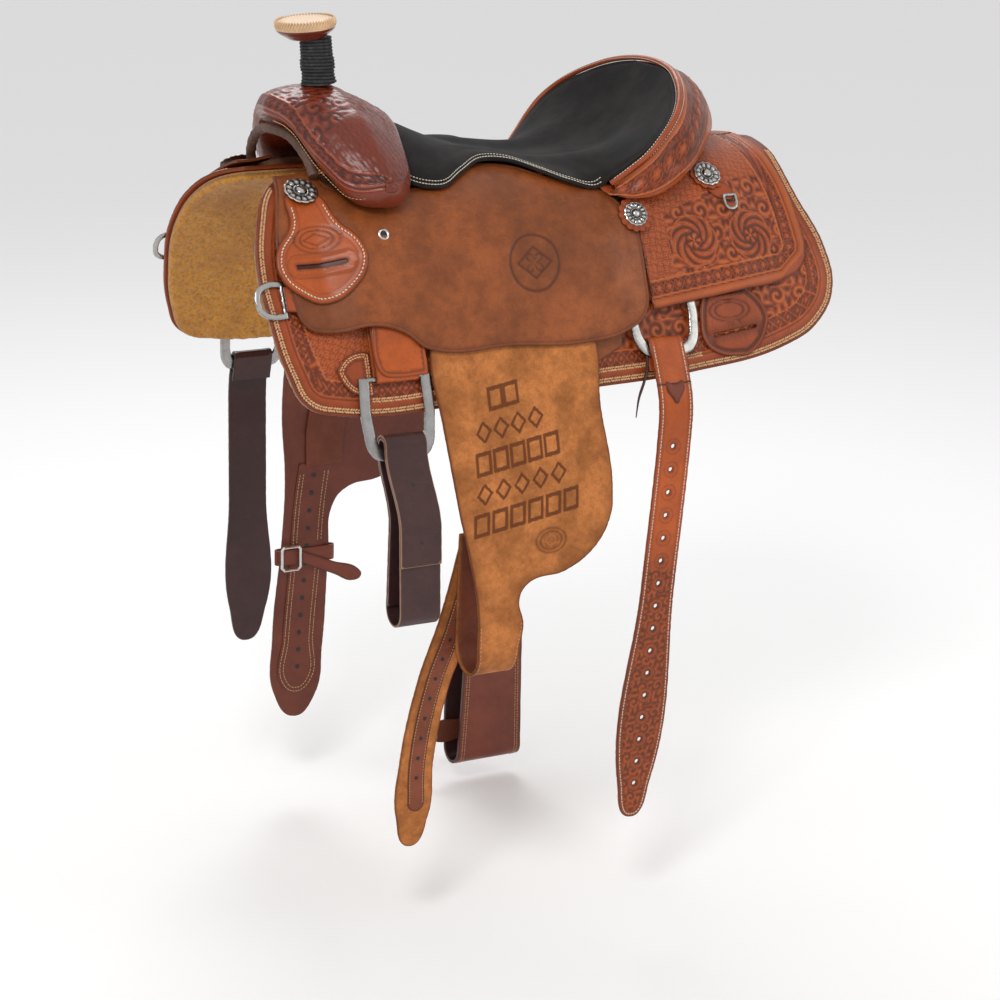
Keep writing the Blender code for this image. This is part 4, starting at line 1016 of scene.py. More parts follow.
def jockey_relief(x, s, d):
    stamp = motif(x, s, *MOTIF, 0.034)
    rise = -0.0010 * stamp - line_at(d, 0.0042, 0.0009, 0.0006)
    wear_and_shade = -0.95 * stamp - line_at(d, 0.0042, 0.0012, 0.55)
    return rise, wear_and_shade


def near_motif(x, s):
    return np.hypot(x - MOTIF[0], s - MOTIF[1]) < 0.040


def make_jockeys(tag, side):
    place = BODY.over(side)
    panel(
        f"seat_jockey_leather_{tag}", [SEAT_JOCKEY], place, jockey_low, jockey_high, JOCKEY, "saddle",
        [f"seat_jockey_{tag}"],
        relief=jockey_relief, grid=0.0055, rings=(0.0005, 0.0013, 0.003, 0.0042, 0.0054),
        fine=near_motif, fine_grid=0.0016,
    )
    rear = ((0.1450, 0.2840, 1), (0.283, 0.269), (0.350, 0.260), (0.385, 0.242))
    rear += ((0.395, 0.215), (0.392, 0.170), (0.384, 0.110), (0.381, 0.060), (0.384, 0.0012, 1))
    rear += ((0.268, 0.0012, 1), (0.258, 0.058, 1), (0.235, 0.084, 1), (0.190, 0.108, 1), (0.1450, 0.120, 1))

    def outer_edge(x, s):
        """Distance to the shown edges only: the lower one and the rear one."""
        lower = np.interp(x, (0.145, 0.283, 0.350, 0.395), (0.284, 0.269, 0.260, 0.225)) - s
        aft = np.interp(
            s, (0.0, 0.060, 0.110, 0.170, 0.215, 0.242), (0.384, 0.381, 0.384, 0.392, 0.395, 0.386)
        ) - x
        return np.minimum(lower, aft)

    def relief(x, s, d):
        e = outer_edge(x, s)
        along = np.where(x > 0.365, s, x)
        roll = np.clip(1 - ((e - 0.0065) / 0.0060) ** 2, 0, 1)
        rise = 0.0014 * roll
        wear_and_shade = 0.30 * roll
        border = (e > 0.0165) & (e < 0.0325)
        b_rise, b_wear = carved(bloom_border(along, (e - 0.0245) / 0.008))
        rise, wear_and_shade = np.where(border, b_rise, rise), np.where(border, b_wear, wear_and_shade)
        field = e > 0.0355
        w_rise, w_wear = basket(x, s, 0.0088, 0.15)
        low_band = (s > 0.165 - 0.05 * np.clip((x - 0.18) / 0.15, 0, 1)) & (x > 0.185)
        l_rise, l_wear = carved(scrolls(x - 0.004, s, 0.034, 0.7), 0.0015)
        f_rise, f_wear = np.where(low_band, l_rise, w_rise - 0.0006), np.where(low_band, l_wear, w_wear)
        for cx, cs, hand in ((0.223, 0.201, 1.0), (0.312, 0.199, -1.0)):
            amount, within = medallion(x, s, cx, cs, 0.034, hand)
            c_rise, c_wear = carved(amount, 0.0017)
            f_rise, f_wear = np.where(within, c_rise, f_rise), np.where(within, c_wear, f_wear)
        rise, wear_and_shade = np.where(field, f_rise, rise), np.where(field, f_wear, wear_and_shade)
        for at in (0.0140, 0.0345):
            rise = rise + line_at(e, at, 0.0009, 0.0007)
            wear_and_shade = wear_and_shade + line_at(e, at, 0.0011, 0.7)
        wear_and_shade = wear_and_shade - line_at(e, 0.0125, 0.0008, 0.9)
        return rise, np.clip(wear_and_shade, -1, 0.85)

    panel(
        f"rear_jockey_leather_{tag}", [rear], place, rear_low,
        lambda x, s: rear_low(x, s) + LEATHER, TOOLED, "saddle",
        [f"rear_jockey_{tag}"], relief=relief, grid=0.0018, rings=(0.0005, 0.0013), round_edge=0.0018,
    )


# Fork, gullet and horn


def smooth_of(table, width=0.010):
    ys, values = zip(*table)
    read = softened(ys, values, width)
    return lambda y: read(np.abs(y))


FORK_FRONT = smooth_of(((0, -0.306), (0.050, -0.294), (0.100, -0.279), (0.140, -0.258), (0.168, -0.222)))
FORK_BACK = smooth_of(((0, -0.134), (0.050, -0.146), (0.100, -0.157), (0.140, -0.168), (0.168, -0.194)))
FORK_DROOP = smooth_of(((0, 0.024), (0.050, 0.023), (0.100, 0.016), (0.140, 0.006), (0.168, 0.0)))
FORK_CROWN = smooth_of(((0, 0.139), (0.050, 0.132), (0.100, 0.112), (0.140, 0.079), (0.168, 0.045)))
FORK_UNDER = smooth_of((
    (0, 0.090), (0.035, 0.086), (0.055, 0.077), (0.075, 0.057), (0.090, 0.043), (0.100, 0.035),
    (0.119, 0.0205), (0.130, 0.0125), (0.138, 0.0070), (0.150, 0.008), (0.168, 0.024),
), 0.004)


def fork_grid(rows, count):
    """Points over the fork's leather: rows from the near tip to the off one, columns round each section."""
    share = np.linspace(-1, 1, rows)
    y = FORK_HALF_WIDTH * np.sign(share) * (1 - (1 - np.abs(share)) ** 1.15)
    turn = 2 * pi * np.arange(count) / count
    across = np.sign(np.cos(turn)) * np.abs(np.cos(turn)) ** 0.80
    up = np.sign(np.sin(turn)) * np.abs(np.sin(turn)) ** 0.80
    grid = np.zeros((rows, count, 3))
    for i, at in enumerate(y):
        front, back, crown, under = FORK_FRONT(at), FORK_BACK(at), FORK_CROWN(at), FORK_UNDER(at)
        tip = sqrt(max(0.0, 1 - max(0.0, (abs(at) - FORK_HALF_WIDTH + 0.012) / 0.0125) ** 2))
        fall = np.where(up > 0, 1 - 0.50 * np.maximum(across, 0), 1.0)
        droop = FORK_DROOP(at) * np.maximum(across, 0)
        grid[i, :, 0] = (front + back) / 2 + across * (back - front) / 2 * (0.25 + 0.75 * tip)
        grid[i, :, 1] = at
        grid[i, :, 2] = (crown + under) / 2 - droop + up * (crown - under) / 2 * fall * (0.25 + 0.75 * tip)
    return grid, turn, y


def make_fork():
    grid, turn, y = fork_grid(150, 150)

    def relief(u, v, edge, points):
        yy, tt = np.meshgrid(y, turn, indexing="ij")
        side = np.abs(yy)
        lip = np.argmin(np.abs(turn - 1.07 * pi))
        front_arc = v[:, lip][:, None] - v
        upper = (tt > 0.02) & (tt < 1.07 * pi)
        band = (front_arc > 0.0085) & (front_arc < 0.0225) & upper
        b_rise, b_wear = carved(bloom_border(side, (front_arc - 0.0155) / 0.0070, 0.0135), 0.0012)
        field = (front_arc > 0.0250) & (v > 0.012) & upper
        peened = field & (v < 0.030 + 0.22 * np.clip(side - 0.060, 0, 1) / 0.1)
        l_rise, l_wear = carved(scrolls(front_arc + 0.004, side + 0.006, 0.033, 0.5), 0.0017)
        dents = np.sin(
            points[..., 0] * 900 + 1.3 * np.sin(side * 700)
        ) * np.sin(side * 820 + points[..., 2] * 640)
        rise, wear_and_shade = np.where(field, l_rise, 0.0), np.where(field, l_wear * 0.9, 0.1)
        rise, wear_and_shade = np.where(peened, 0.0006 * dents, rise), np.where(peened, 0.25 * dents - 0.1, wear_and_shade)
        rise, wear_and_shade = np.where(band, b_rise, rise), np.where(band, b_wear, wear_and_shade)
        for at in (0.0010, 0.0070, 0.0240):
            rise = rise + line_at(front_arc, at, 0.0015, 0.0012) * upper
            wear_and_shade = wear_and_shade + line_at(front_arc, at, 0.0015, 0.70) * upper
        wear_and_shade = wear_and_shade - line_at(front_arc, 0.0040, 0.0012, 0.9) * upper
        wear_and_shade = wear_and_shade - line_at(v, 0.0100, 0.0012, 0.8) * upper
        return rise, np.clip(wear_and_shade, -1, 0.75)

    grid_sheet(
        "fork_leather", grid, 0.003, FORKED, "saddle", (-0.22, 0, 0.07), ["swell_cover"], relief, 0.001,
        around=True
    )
    make_fork_tips(grid)
    make_fork_stitching()


def make_fork_tips(grid):
    """The rounded ends of the fork's leather."""
    caps = Heap()
    for end in (grid[0], grid[-1]):
        middle = end.mean(0)
        rings = [middle + (end - middle) * share for share in (1.0, 0.75, 0.4)]
        bulge = np.array((0, 0.0020 * np.sign(middle[1]), 0))
        points = np.vstack([rings[0], rings[1] + bulge * 0.7, rings[2] + bulge, [middle + bulge]])
        n = len(end)
        faces = []
        for a, b in ((0, n), (n, 2 * n)):
            faces += [(a + i, a + (i + 1) % n, b + (i + 1) % n, b + i) for i in range(n)]
        faces += [(2 * n + i, 2 * n + (i + 1) % n, 3 * n) for i in range(n)]
        if middle[1] > 0:
            faces = [tuple(reversed(face)) for face in faces]
        caps.add(points, faces)
    caps.done("fork_tips", FORKED, "saddle")


def make_fork_stitching():
    seam = Heap()
    for row_side in (-1, 1):
        line = []
        for at in np.linspace(0.012, 0.158, 90):
            front, under, crown = FORK_FRONT(at), FORK_UNDER(at), FORK_CROWN(at)
            line.append((front + 0.0045, row_side * at, (crown + under) / 2 - (crown - under) * 0.30))
        line = np.array(line)
        for i in range(2, len(line) - 2, 2):
            way = unit(line[i + 1] - line[i - 1])
            stitch(seam, line[i] + 0.0006 * FORWARD, way, FORWARD, 0.0032, 0.0011, 0.0006)
    seam.done("fork_stitching", TAN, "saddle")


def hermite(points, count):
    """Points evenly read from a smooth line through the ones given."""
    table = np.array(points, float)
    length = lengths_along(table)
    slope = np.gradient(table, length, axis=0)
    wanted = np.linspace(0, length[-1], count)
    i = np.clip(np.searchsorted(length, wanted, side="right") - 1, 0, len(table) - 2)
    span = (length[i + 1] - length[i])[:, None]
    t = ((wanted - length[i]) / span[:, 0])[:, None]
    return (
        (2 * t**3 - 3 * t**2 + 1) * table[i] + (t**3 - 2 * t**2 + t) * slope[i] * span
        + (3 * t**2 - 2 * t**3) * table[i + 1] + (t**3 - t**2) * slope[i + 1] * span
    )


def make_gullet_rim():
    off = (
        (-0.290, 0, 0.0845), (-0.292, 0.035, 0.0805), (-0.292, 0.060, 0.0680), (-0.290, 0.077, 0.050),
        (-0.286, 0.087, 0.034)
    )
    off += ((-0.279, 0.090, 0.018),)
    near = (
        (-0.276, -0.087, 0.040), (-0.276, -0.077, 0.052), (-0.280, -0.060, 0.0680), (-0.284, -0.035, 0.0805)
    )
    points = hermite(near + off, 110)
    points, faces = swept(points, 0.0064 + 0.0003 * np.sin(np.arange(110) * 0.9), 14)
    # Grey-brown leather: painted shade on the fork's lip.
    make_object("gullet_roll", points, faces, RIM_SHADE, "saddle", ["gullet_rim"])


HORN_FRAME = Matrix.Translation((-0.231, 0.0, 0.139)) @ Matrix.Rotation(-radians(5.0), 4, "Y")
NECK_TOP = 0.058
NECK_R = 0.0165
HORN_COUNT = 72
CAP_SHIFT = np.array((-0.012, 0, NECK_TOP + 0.0004))


def in_horn(points):
    matrix = np.array(HORN_FRAME)
    return np.asarray(points) @ matrix[:3, :3].T + matrix[:3, 3]


def make_horn_wrap():
    rows, count = 150, HORN_COUNT
    heights = np.linspace(0.0008, NECK_TOP - 0.0006, rows)
    turn = 2 * pi * np.arange(count) / count
    h, a = np.meshgrid(heights, turn, indexing="ij")
    pitch = 0.0042
    lean = 0.0022 * np.sin(a + 0.6)
    phase = ((h + lean) / pitch + a / (2 * pi)) % 1
    ridge = np.sin(phase * pi) ** 0.55
    flare = 0.0022 * np.clip(1 - h / 0.012, 0, 1) ** 2 + 0.0012 * (h > 0.018) * (h < 0.031)
    radius = NECK_R + 0.0021 + 0.0017 * ridge + flare + 0.0006 * (1 - h / NECK_TOP)
    points = np.stack([radius * np.cos(a), radius * np.sin(a), h], -1).reshape(-1, 3)
    index = np.arange(rows * count).reshape(rows, count)
    right = np.roll(index, -1, 1)
    faces = [tuple(f) for f in np.stack([index[:-1], right[:-1], right[1:], index[1:]], -1).reshape(-1, 4)]
    faces += [tuple(reversed(index[0])), tuple(index[-1])]
    # The grooves between the wrap's turns are darkened: painted shade between the turns.
    make_object(
        "horn_wrapping", in_horn(points), faces, RUBBER, "saddle", ["horn_wrap"], (ridge.ravel() - 1) * 1.2
    )


def make_horn_cap():
    count = HORN_COUNT
    turn = 2 * pi * np.arange(count) / count
    profile = (
        (0.0, 0.0243), (0.012, 0.0243), (0.024, 0.0240), (0.0300, 0.0236), (0.0345, 0.0226), (0.0368, 0.0205)
    )
    profile += ((0.0376, 0.0170), (0.0374, 0.0140), (0.0362, 0.0108), (0.0335, 0.0080), (0.0290, 0.0050))
    profile += ((0.0240, 0.0015), (0.0215, 0.0), (0.0, 0.0))
    spline = hermite(profile, 70)
    points, wear_and_shade = [], []
    for r, z in spline:
        for t in turn:
            points.append((max(r, 0.00005) * cos(t), max(r, 0.00005) * sin(t), z))
            # Below z 0.0118, under the rim, the cap is darkened: painted shade.
            wear_and_shade.append(-0.75 if z < 0.0118 else -0.55 * line_at(r, 0.0305, 0.0010) * (z > 0.02))
    points, wear_and_shade = np.array(points) + CAP_SHIFT, np.array(wear_and_shade)
    cut = int(np.argmax(spline[:, 1] < 0.0132))
    halves = (("horn_cap_hide", RAWHIDE, 0, cut + 1), ("horn_cap_underside", FORKED, cut, len(spline)))
    for name, look, first, last in halves:
        index = np.arange((last - first) * count).reshape(last - first, count)
        right = np.roll(index, -1, 1)
        faces = [
            tuple(f) for f in np.stack([index[1:], right[1:], right[:-1], index[:-1]], -1).reshape(-1, 4)
        ]
        part = slice(first * count, last * count)
        # The underside is darkened a little: painted shade under the cap.
        shade = wear_and_shade[part] if first == 0 else 0 * wear_and_shade[part] - 0.1
        make_object(name, in_horn(points[part]), faces, look, "saddle", ["horn_cap"], shade)


def make_horn_lacing():
    """A lace whipped over the cap's rim."""
    laces = Heap()
    pieces = 58
    for i in range(pieces):
        t0 = 2 * pi * i / pieces
        arc = []
        for k in range(7):
            share = k / 6
            lift = share * pi * 0.92
            r = 0.0342 + 0.0036 * sin(lift)
            z = 0.0125 + 0.0115 * (1 - cos(lift)) / 2 + 0.0004
            t = t0 + 0.16 * share
            arc.append((r * cos(t), r * sin(t), z))
        laces.add(*swept(in_horn(np.array(arc) + CAP_SHIFT), 0.0011, 6))
    laces.done("horn_cap_lacing", RAWHIDE, "saddle")


# Cantle and seat

RIM = (
    (0.250, 0.000, 0.143), (0.248, 0.045, 0.140), (0.236, 0.088, 0.131), (0.220, 0.124, 0.116),
    (0.198, 0.153, 0.096)
)
RIM += ((0.175, 0.165, 0.074), (0.152, 0.164, 0.049), (0.130, 0.153, 0.028), (0.112, 0.1435, 0.0120))
ROLL = (
    (0.316, 0.000, 0.113), (0.303, 0.050, 0.101), (0.279, 0.100, 0.076), (0.250, 0.131, 0.047),
    (0.209, 0.156, 0.026)
)
ROLL += ((0.172, 0.163, 0.013), (0.142, 0.156, 0.008), (0.116, 0.1455, 0.0075))
LOWER = (
    (0.334, 0.000, 0.066), (0.313, 0.050, 0.060), (0.270, 0.100, 0.040), (0.229, 0.130, 0.019),
    (0.184, 0.156, 0.004)
)
LOWER += ((0.154, 0.160, -0.002), (0.132, 0.152, -0.001), (0.112, 0.142, 0.0020))
SEAT_LINE = (
    (-0.152, 0.094), (-0.104, 0.072), (-0.050, 0.052), (-0.003, 0.040), (0.060, 0.032), (0.115, 0.032),
    (0.160, 0.044), (0.197, 0.071), (0.222, 0.104), (0.2435, 0.1425),
)
SEAT_EDGE = (
    (-0.160, 0.066), (-0.158, 0.103), (-0.127, 0.116), (-0.073, 0.092), (-0.029, 0.074),
    (0.010, 0.092), (0.060, 0.123), (0.102, 0.131),
)


def both_sides(line, count):
    points = hermite(line, count)
    return np.vstack([(points * (1, -1, 1))[:0:-1], points])


def leather_top(x, out):
    """Height of the jockeys' upper face behind the seat, at a distance out from the middle plane."""
    s = np.linspace(0.0, 0.190, 39)
    height = rear_low(x + 0 * s, s) if x > 0.144 else jockey_low(x + 0 * s, s)
    outs, tops = BODY.at(s, height + LEATHER)
    return float(np.interp(abs(out), outs, tops))


def make_cantle():
    count = 11
    rim, roll, lower = both_sides(RIM, count), both_sides(ROLL, count), both_sides(LOWER, count)
    sections = []
    for i, (top, edge, under) in enumerate(zip(rim, roll, lower)):
        crest = top + (0.004, 0, 0.0005)
        foot = np.array((under[0] - 0.016, under[1] * 0.84, 0.0))
        foot[2] = leather_top(foot[0], foot[1]) + 0.0018
        out = unit(edge - top)
        run = rim[min(i + 1, len(rim) - 1)] - rim[max(i - 1, 0)]
        normal = np.cross(out, run)
        normal /= np.linalg.norm(normal) * (1 if normal[2] > 0 else -1)
        middle = (crest + edge) / 2 + normal * 0.005
        sections.append(hermite([crest, middle, edge, under, foot], 46))
    control = np.array(sections)
    grid = np.stack([hermite(control[:, j], 230) for j in range(control.shape[1])], 1)

    def relief(u, v, edge, points):
        along = u[:, 6:7] + 0 * v
        inner = v
        outer = v[:, 26:27] - v
        band = (inner > 0.009) & (outer > 0.006)
        width = np.maximum(v[:, 26:27] - 0.015, 0.004)
        across = ((inner - 0.009) / width) * 2 - 1
        amount = bloom_border(along, across * np.maximum(width / 0.024, 0.35), 0.024)
        leafy = scrolls(along, inner, 0.020)
        amount = np.maximum(amount, leafy * 0.55 * (np.abs(across) > 0.55))
        b_rise, b_wear = carved(amount, 0.0014)
        rise, wear_and_shade = np.where(band, b_rise, 0.0), np.where(band, b_wear, 0.15)
        rise = rise + line_at(inner, 0.0075, 0.0010, 0.0009) + line_at(outer, 0.0045, 0.0010, 0.0009)
        wear_and_shade = wear_and_shade + line_at(inner, 0.0075, 0.0012, 0.7) + line_at(outer, 0.0045, 0.0012, 0.7)
        wear_and_shade = wear_and_shade - line_at(outer, 0.0020, 0.0010, 0.8)
        return rise, np.clip(wear_and_shade, -1, 0.85)

    grid_sheet(
        "cantle_leather", grid, 0.0042, TOOLED, "saddle", (0.16, 0, 0.02), ["cantle_back"], relief, 0.0016
    )
    points, faces = swept(hermite(rim + (-0.0010, 0, 0.0040), 260), 0.0035, 12)
    make_object("cantle_edge", points, faces, TOOLED, "saddle", ["cantle_binding"])
    make_cantle_stitching(rim)


def make_cantle_stitching(rim):
    rows = Heap()
    for shift in (np.array((-0.0062, 0, 0.0040)), np.array((0.0052, 0, 0.0040))):
        path = hermite(rim + shift, 150)
        for i in range(3, len(path) - 3):
            way = path[i + 1] - path[i - 1]
            normal = shift - way * (shift @ way) / (way @ way)
            normal = unit(normal) * 0.7 + np.array((0, 0, 0.3))
            stitch(rows, path[i] + normal * 0.0004, unit(way), unit(normal), 0.0024, 0.0010, 0.0006)
    rows.done("cantle_edge_stitching", WHITE, "saddle")


JOCKEY_INNER = (
    (-0.150, 0.108), (-0.110, 0.100), (-0.080, 0.074), (-0.045, 0.064), (0.000, 0.074), (0.028, 0.090),
    (0.060, 0.108), (0.095, 0.118), (0.118, 0.134),
)


def bar_high(x):
    stations = (-0.283, -0.255, -0.130, -0.080, 0.150, 0.210, 0.300)
    return np.interp(x, stations, (0.0055, 0.0090, 0.0095, 0.0040, 0.0040, 0.0085, 0.0060))


def under_seat(x, out):
    inner = np.interp(x, *zip(*JOCKEY_INNER))
    s = np.linspace(0.058, 0.150, 47)
    height = np.where(s > inner, jockey_high(x + 0 * s, s), np.maximum(bar_high(x), 0.004))
    outs, tops = BODY.at(s, height)
    order = np.argsort(outs)
    return float(np.interp(out, outs[order], tops[order]))


def seat_grid():
    """The seat's upper face: rows from fork to cantle, columns from the near edge to the off one."""
    edge_xs = hermite([(x, 0, s) for x, s in SEAT_EDGE], 9)
    edges = [BODY.over(1)(x, s, jockey_high(x, s) + 0.0055) for x, _, s in edge_xs]
    rim = hermite(RIM, 10)
    edges += [p + (-0.0045, -0.0045 * min(1, p[1] / 0.05), 0.0015) for p in rim[:0:-1]]
    middles = hermite([(x, 0, z) for x, z in SEAT_LINE], len(edges))
    shares = np.linspace(0, 1, 25)
    rows = []
    lifts = []
    for middle, edge in zip(middles, edges):
        y = edge[1] * (0.55 * shares + 0.45 * np.sin(shares * pi / 2))
        part = (y / edge[1]) ** 2
        x, z = middle[0] + (edge[0] - middle[0]) * part, middle[2] + (edge[2] - middle[2]) * part
        over_leather = (y > 0.060) & (x < 0.150)
        floors = np.array([under_seat(a, b) if over else -1.0 for a, b, over in zip(x, y, over_leather)])
        lifts.append(np.maximum(floors + SEAT_THICK + 0.0040 - z, 0) * over_leather)
        rows.append(np.stack([x, y, z], -1))
    lifts, rows = np.array(lifts), np.array(rows)
    high, wide = lifts.shape
    for joined in (np.max, np.max, *[np.mean] * 5):
        padded = np.pad(lifts, 1, "edge")
        lifts = joined([padded[a : a + high, b : b + wide] for a in range(3) for b in range(3)], 0)
    rows[..., 2] += lifts
    control = np.array([np.vstack([(half * (1, -1, 1))[:0:-1], half]) for half in rows])
    tall = np.stack([hermite(control[:, j], 120) for j in range(control.shape[1])], 1)
    return np.stack([hermite(row, 110) for row in tall])


def make_seat():
    grid = seat_grid()

    def relief(u, v, edge, points):
        side = np.minimum(v, v[:, -1:] - v)
        puff = 0.0022 * np.clip(side / 0.05, 0, 1) ** 0.7 * np.clip(u / 0.03, 0, 1)
        seam = line_at(side, 0.0070, 0.0022, -0.0009)
        return puff + seam, 0 * u

    seat = grid_sheet(
        "seat_suede", grid, SEAT_THICK, SUEDE, "saddle", (0.10, 0, -4.0), ["seat_cover"], relief, 0.0020
    )
    make_seat_stitching(grid)


def make_seat_stitching(grid):
    """Two rows along each side of the seat, as far as the cantle."""
    rows = Heap()
    du, dv = np.gradient(grid, axis=0), np.gradient(grid, axis=1)
    normal = np.cross(dv, du)
    normal /= np.linalg.norm(normal, axis=2)[..., None]
    if normal[30, 55, 2] < 0:
        normal = -normal
    v = np.concatenate(
        [np.zeros((len(grid), 1)), np.cumsum(np.linalg.norm(np.diff(grid, axis=1), axis=2), 1)], 1
    )
    for inset in (0.0045, 0.0100):
        for flip in (False, True):
            line, ups = [], []
            for i in range(2, len(grid) - 2):
                at = v[i, -1] - inset if flip else inset
                line.append([np.interp(at, v[i], grid[i, :, k]) for k in range(3)])
                ups.append([np.interp(at, v[i], normal[i, :, k]) for k in range(3)])
            line, ups = np.array(line), np.array(ups)
            length = lengths_along(line)

            def read(values, at):
                return np.array([np.interp(at, length, values[:, k]) for k in range(3)])

            for w in np.arange(0.003, length[-1] - 0.003, 0.0040):
                here, ahead, up = read(line, w), read(line, w + 0.0010), read(ups, w)
                if here[0] <= 0.104:
                    stitch(rows, here + up * 0.0004, unit(ahead - here), unit(up), 0.0033, 0.0013, 0.0007)
    rows.done("seat_stitching", WHITE, "saddle")


# Dees, rigging and conchos


def dee_outlines(width, drop, band, bar, flat=0.2):
    def outline(half, top, bottom):
        corner, shoulder = (half, bottom - half * 0.85), (
            half * (0.62 + flat / 3), bottom - half * (0.22 - flat / 5)
        )
        right = [(half * flat, bottom), shoulder, corner, (half, top, 1)]
        return [(-x, *rest) for x, *rest in right[::-1]] + right

    return outline(width / 2, -bar, drop), outline(width / 2 - band, bar, drop - band)


def dee_place(side, x, s, n, slope):
    """Lays (along the bar, down, out) over the plane that a dee hangs in."""
    out, z = BODY.at(s, n)

    def place(u, v, h):
        sideways = side * (out + v * cos(slope) + h * sin(slope))
        return np.stack(np.broadcast_arrays(x + u, sideways, z - v * sin(slope) + h * cos(slope)), -1)

    return place


def turned_dee(side, x, s, n):
    """The same for a dee that points forward from its bar, flat on the leather."""
    flat = dee_place(side, x, s, n, float(np.interp(s, BODY.s, BODY.angle)))
    return lambda u, v, h: flat(-v, u, h)


def make_dee(name, place, shape, half, look, body, replaces):
    outer, hole = dee_outlines(*shape)

    def relief(x, s, d):
        return 0 * x, 0.5 * line_at(d, 0, WORN_EDGE) - 0.12

    panel(
        name, [outer], place, -half, half, look, body, replaces,
        holes=[hole], relief=relief, round_edge=half * 0.8,
        grid=0.003, rings=(0.0004, 0.0010, 0.0018), step=0.0022,
    )


def fold_place(side, s_low, s_bar, n_low, n_high):
    """Lays (x, length, n) along leather that runs down, round a dee's bar and back up behind."""
    radius, middle = (n_high - n_low) / 2, (n_high + n_low) / 2
    first, arc = s_bar - s_low, pi * (n_high - n_low) / 2

    def place(x, t, n):
        angle = np.clip((t - first) / radius, 0, pi)
        down = np.minimum(t, first)
        back = np.maximum(t - first - arc, 0)
        r = radius + n
        s = s_low + down + r * np.sin(angle) - back
        height = middle + r * np.cos(angle)
        out, z = BODY.at(s, height)
        return np.stack(np.broadcast_arrays(x + 0 * t, side * out, z), -1)

    return place, 2 * first + arc


def groove(at, width, depth):
    """The relief function of a line pressed in at a distance from the edge."""
    return lambda x, s, d: (-line_at(d, at, width, depth), -line_at(d, at, 0.0014, 0.8))


def make_front_rigging(tag, side):
    place = BODY.over(side)
    fold, length = fold_place(side, 0.262, FRONT_DEE["s"], LAYER_GAP, 0.0119)
    strip = ((-0.2500, 0.0, 1), (-0.2500, length, 1), (-0.1925, length, 1), (-0.1925, 0.0, 1))
    panel(
        f"front_rigging_leather_{tag}", [strip], fold, -0.0020, 0.0, ORANGE, "saddle",
        [f"front_rigging_{tag}"], grid=0.003
    )
    leaf = (
        (-0.2975, 0.320, 1), (-0.284, 0.305), (-0.264, 0.299), (-0.2520, 0.301, 1), (-0.2520, 0.3545, 1),
        (-0.275, 0.350), (-0.289, 0.338),
    )
    panel(f"leaf_patch_{tag}", [leaf], place, LAYER_GAP, 0.0030, TOOLED, "saddle", grid=0.003, step=0.003,
          relief=groove(0.0095, 0.0012, 0.0006))
    before_the_dee = (
        leaf, (0.0032, 0.0062), place, 0.0034, (0.0036, 0.0032, 0.0018, 0.0010), lambda x, s: x < -0.2545,
        0.4
    )
    stitched(f"leaf_patch_stitching_{tag}", ROPE, "saddle", before_the_dee)
    ply = (
        (-0.248, 0.266, 1), (-0.2475, 0.322), (-0.2400, 0.3315), (-0.228, 0.3345),
        (-0.1815, 0.3345, 1), (-0.1815, 0.268, 1),
    )
    panel(
        f"front_rigging_ply_{tag}", [ply], place, 0.0120, 0.0140, ORANGE, "saddle",
        relief=groove(0.005, 0.001, 0.0005),
        grid=0.004, rings=(0.0005, 0.0013, 0.003, 0.005),
    )
    shape = (0.096, FRONT_DEE["drop"], FRONT_DEE["band"], 0.0024, 0.50)
    hang = dee_place(side, FRONT_DEE["x"], FRONT_DEE["s"], FRONT_DEE["n"], FRONT_DEE["slope"])
    make_dee(f"front_ring_{tag}", hang, shape, 0.0023, STEEL, f"front_dee_{tag}", [f"front_dee_{tag}"])


def make_rear_rigging(tag, side):
    place = BODY.over(side)
    fold, length = fold_place(side, 0.200, REAR_DEE["s"], LAYER_GAP, 0.0103)
    strip = ((0.1410, 0.0, 1), (0.1410, length, 1), (0.1890, length, 1), (0.1890, 0.0, 1))
    panel(
        f"rear_rigging_leather_{tag}", [strip], fold, -0.0014, 0.0, TOOLED, "saddle",
        [f"rear_rigging_{tag}"], grid=0.003
    )
    shape = (0.100, REAR_DEE["drop"], REAR_DEE["band"], 0.0023, 0.4)
    hang = dee_place(side, REAR_DEE["x"], REAR_DEE["s"], REAR_DEE["n"], REAR_DEE["slope"])
    make_dee(f"rear_ring_{tag}", hang, shape, 0.0021, SILVER, f"rear_dee_{tag}", [f"rear_dee_{tag}"])
    strap = (
        (-0.160, 0.300, 1), (-0.160, 0.338, 1), (0.060, 0.342, 1), (0.098, 0.325, 1), (0.106, 0.292, 1),
        (0.060, 0.306, 1)
    )
    panel(
        f"rigging_strap_leather_{tag}", [strap], place, LAYER_GAP, 0.0026, JOCKEY, "saddle",
        [f"rigging_strap_{tag}"], grid=0.007
    )


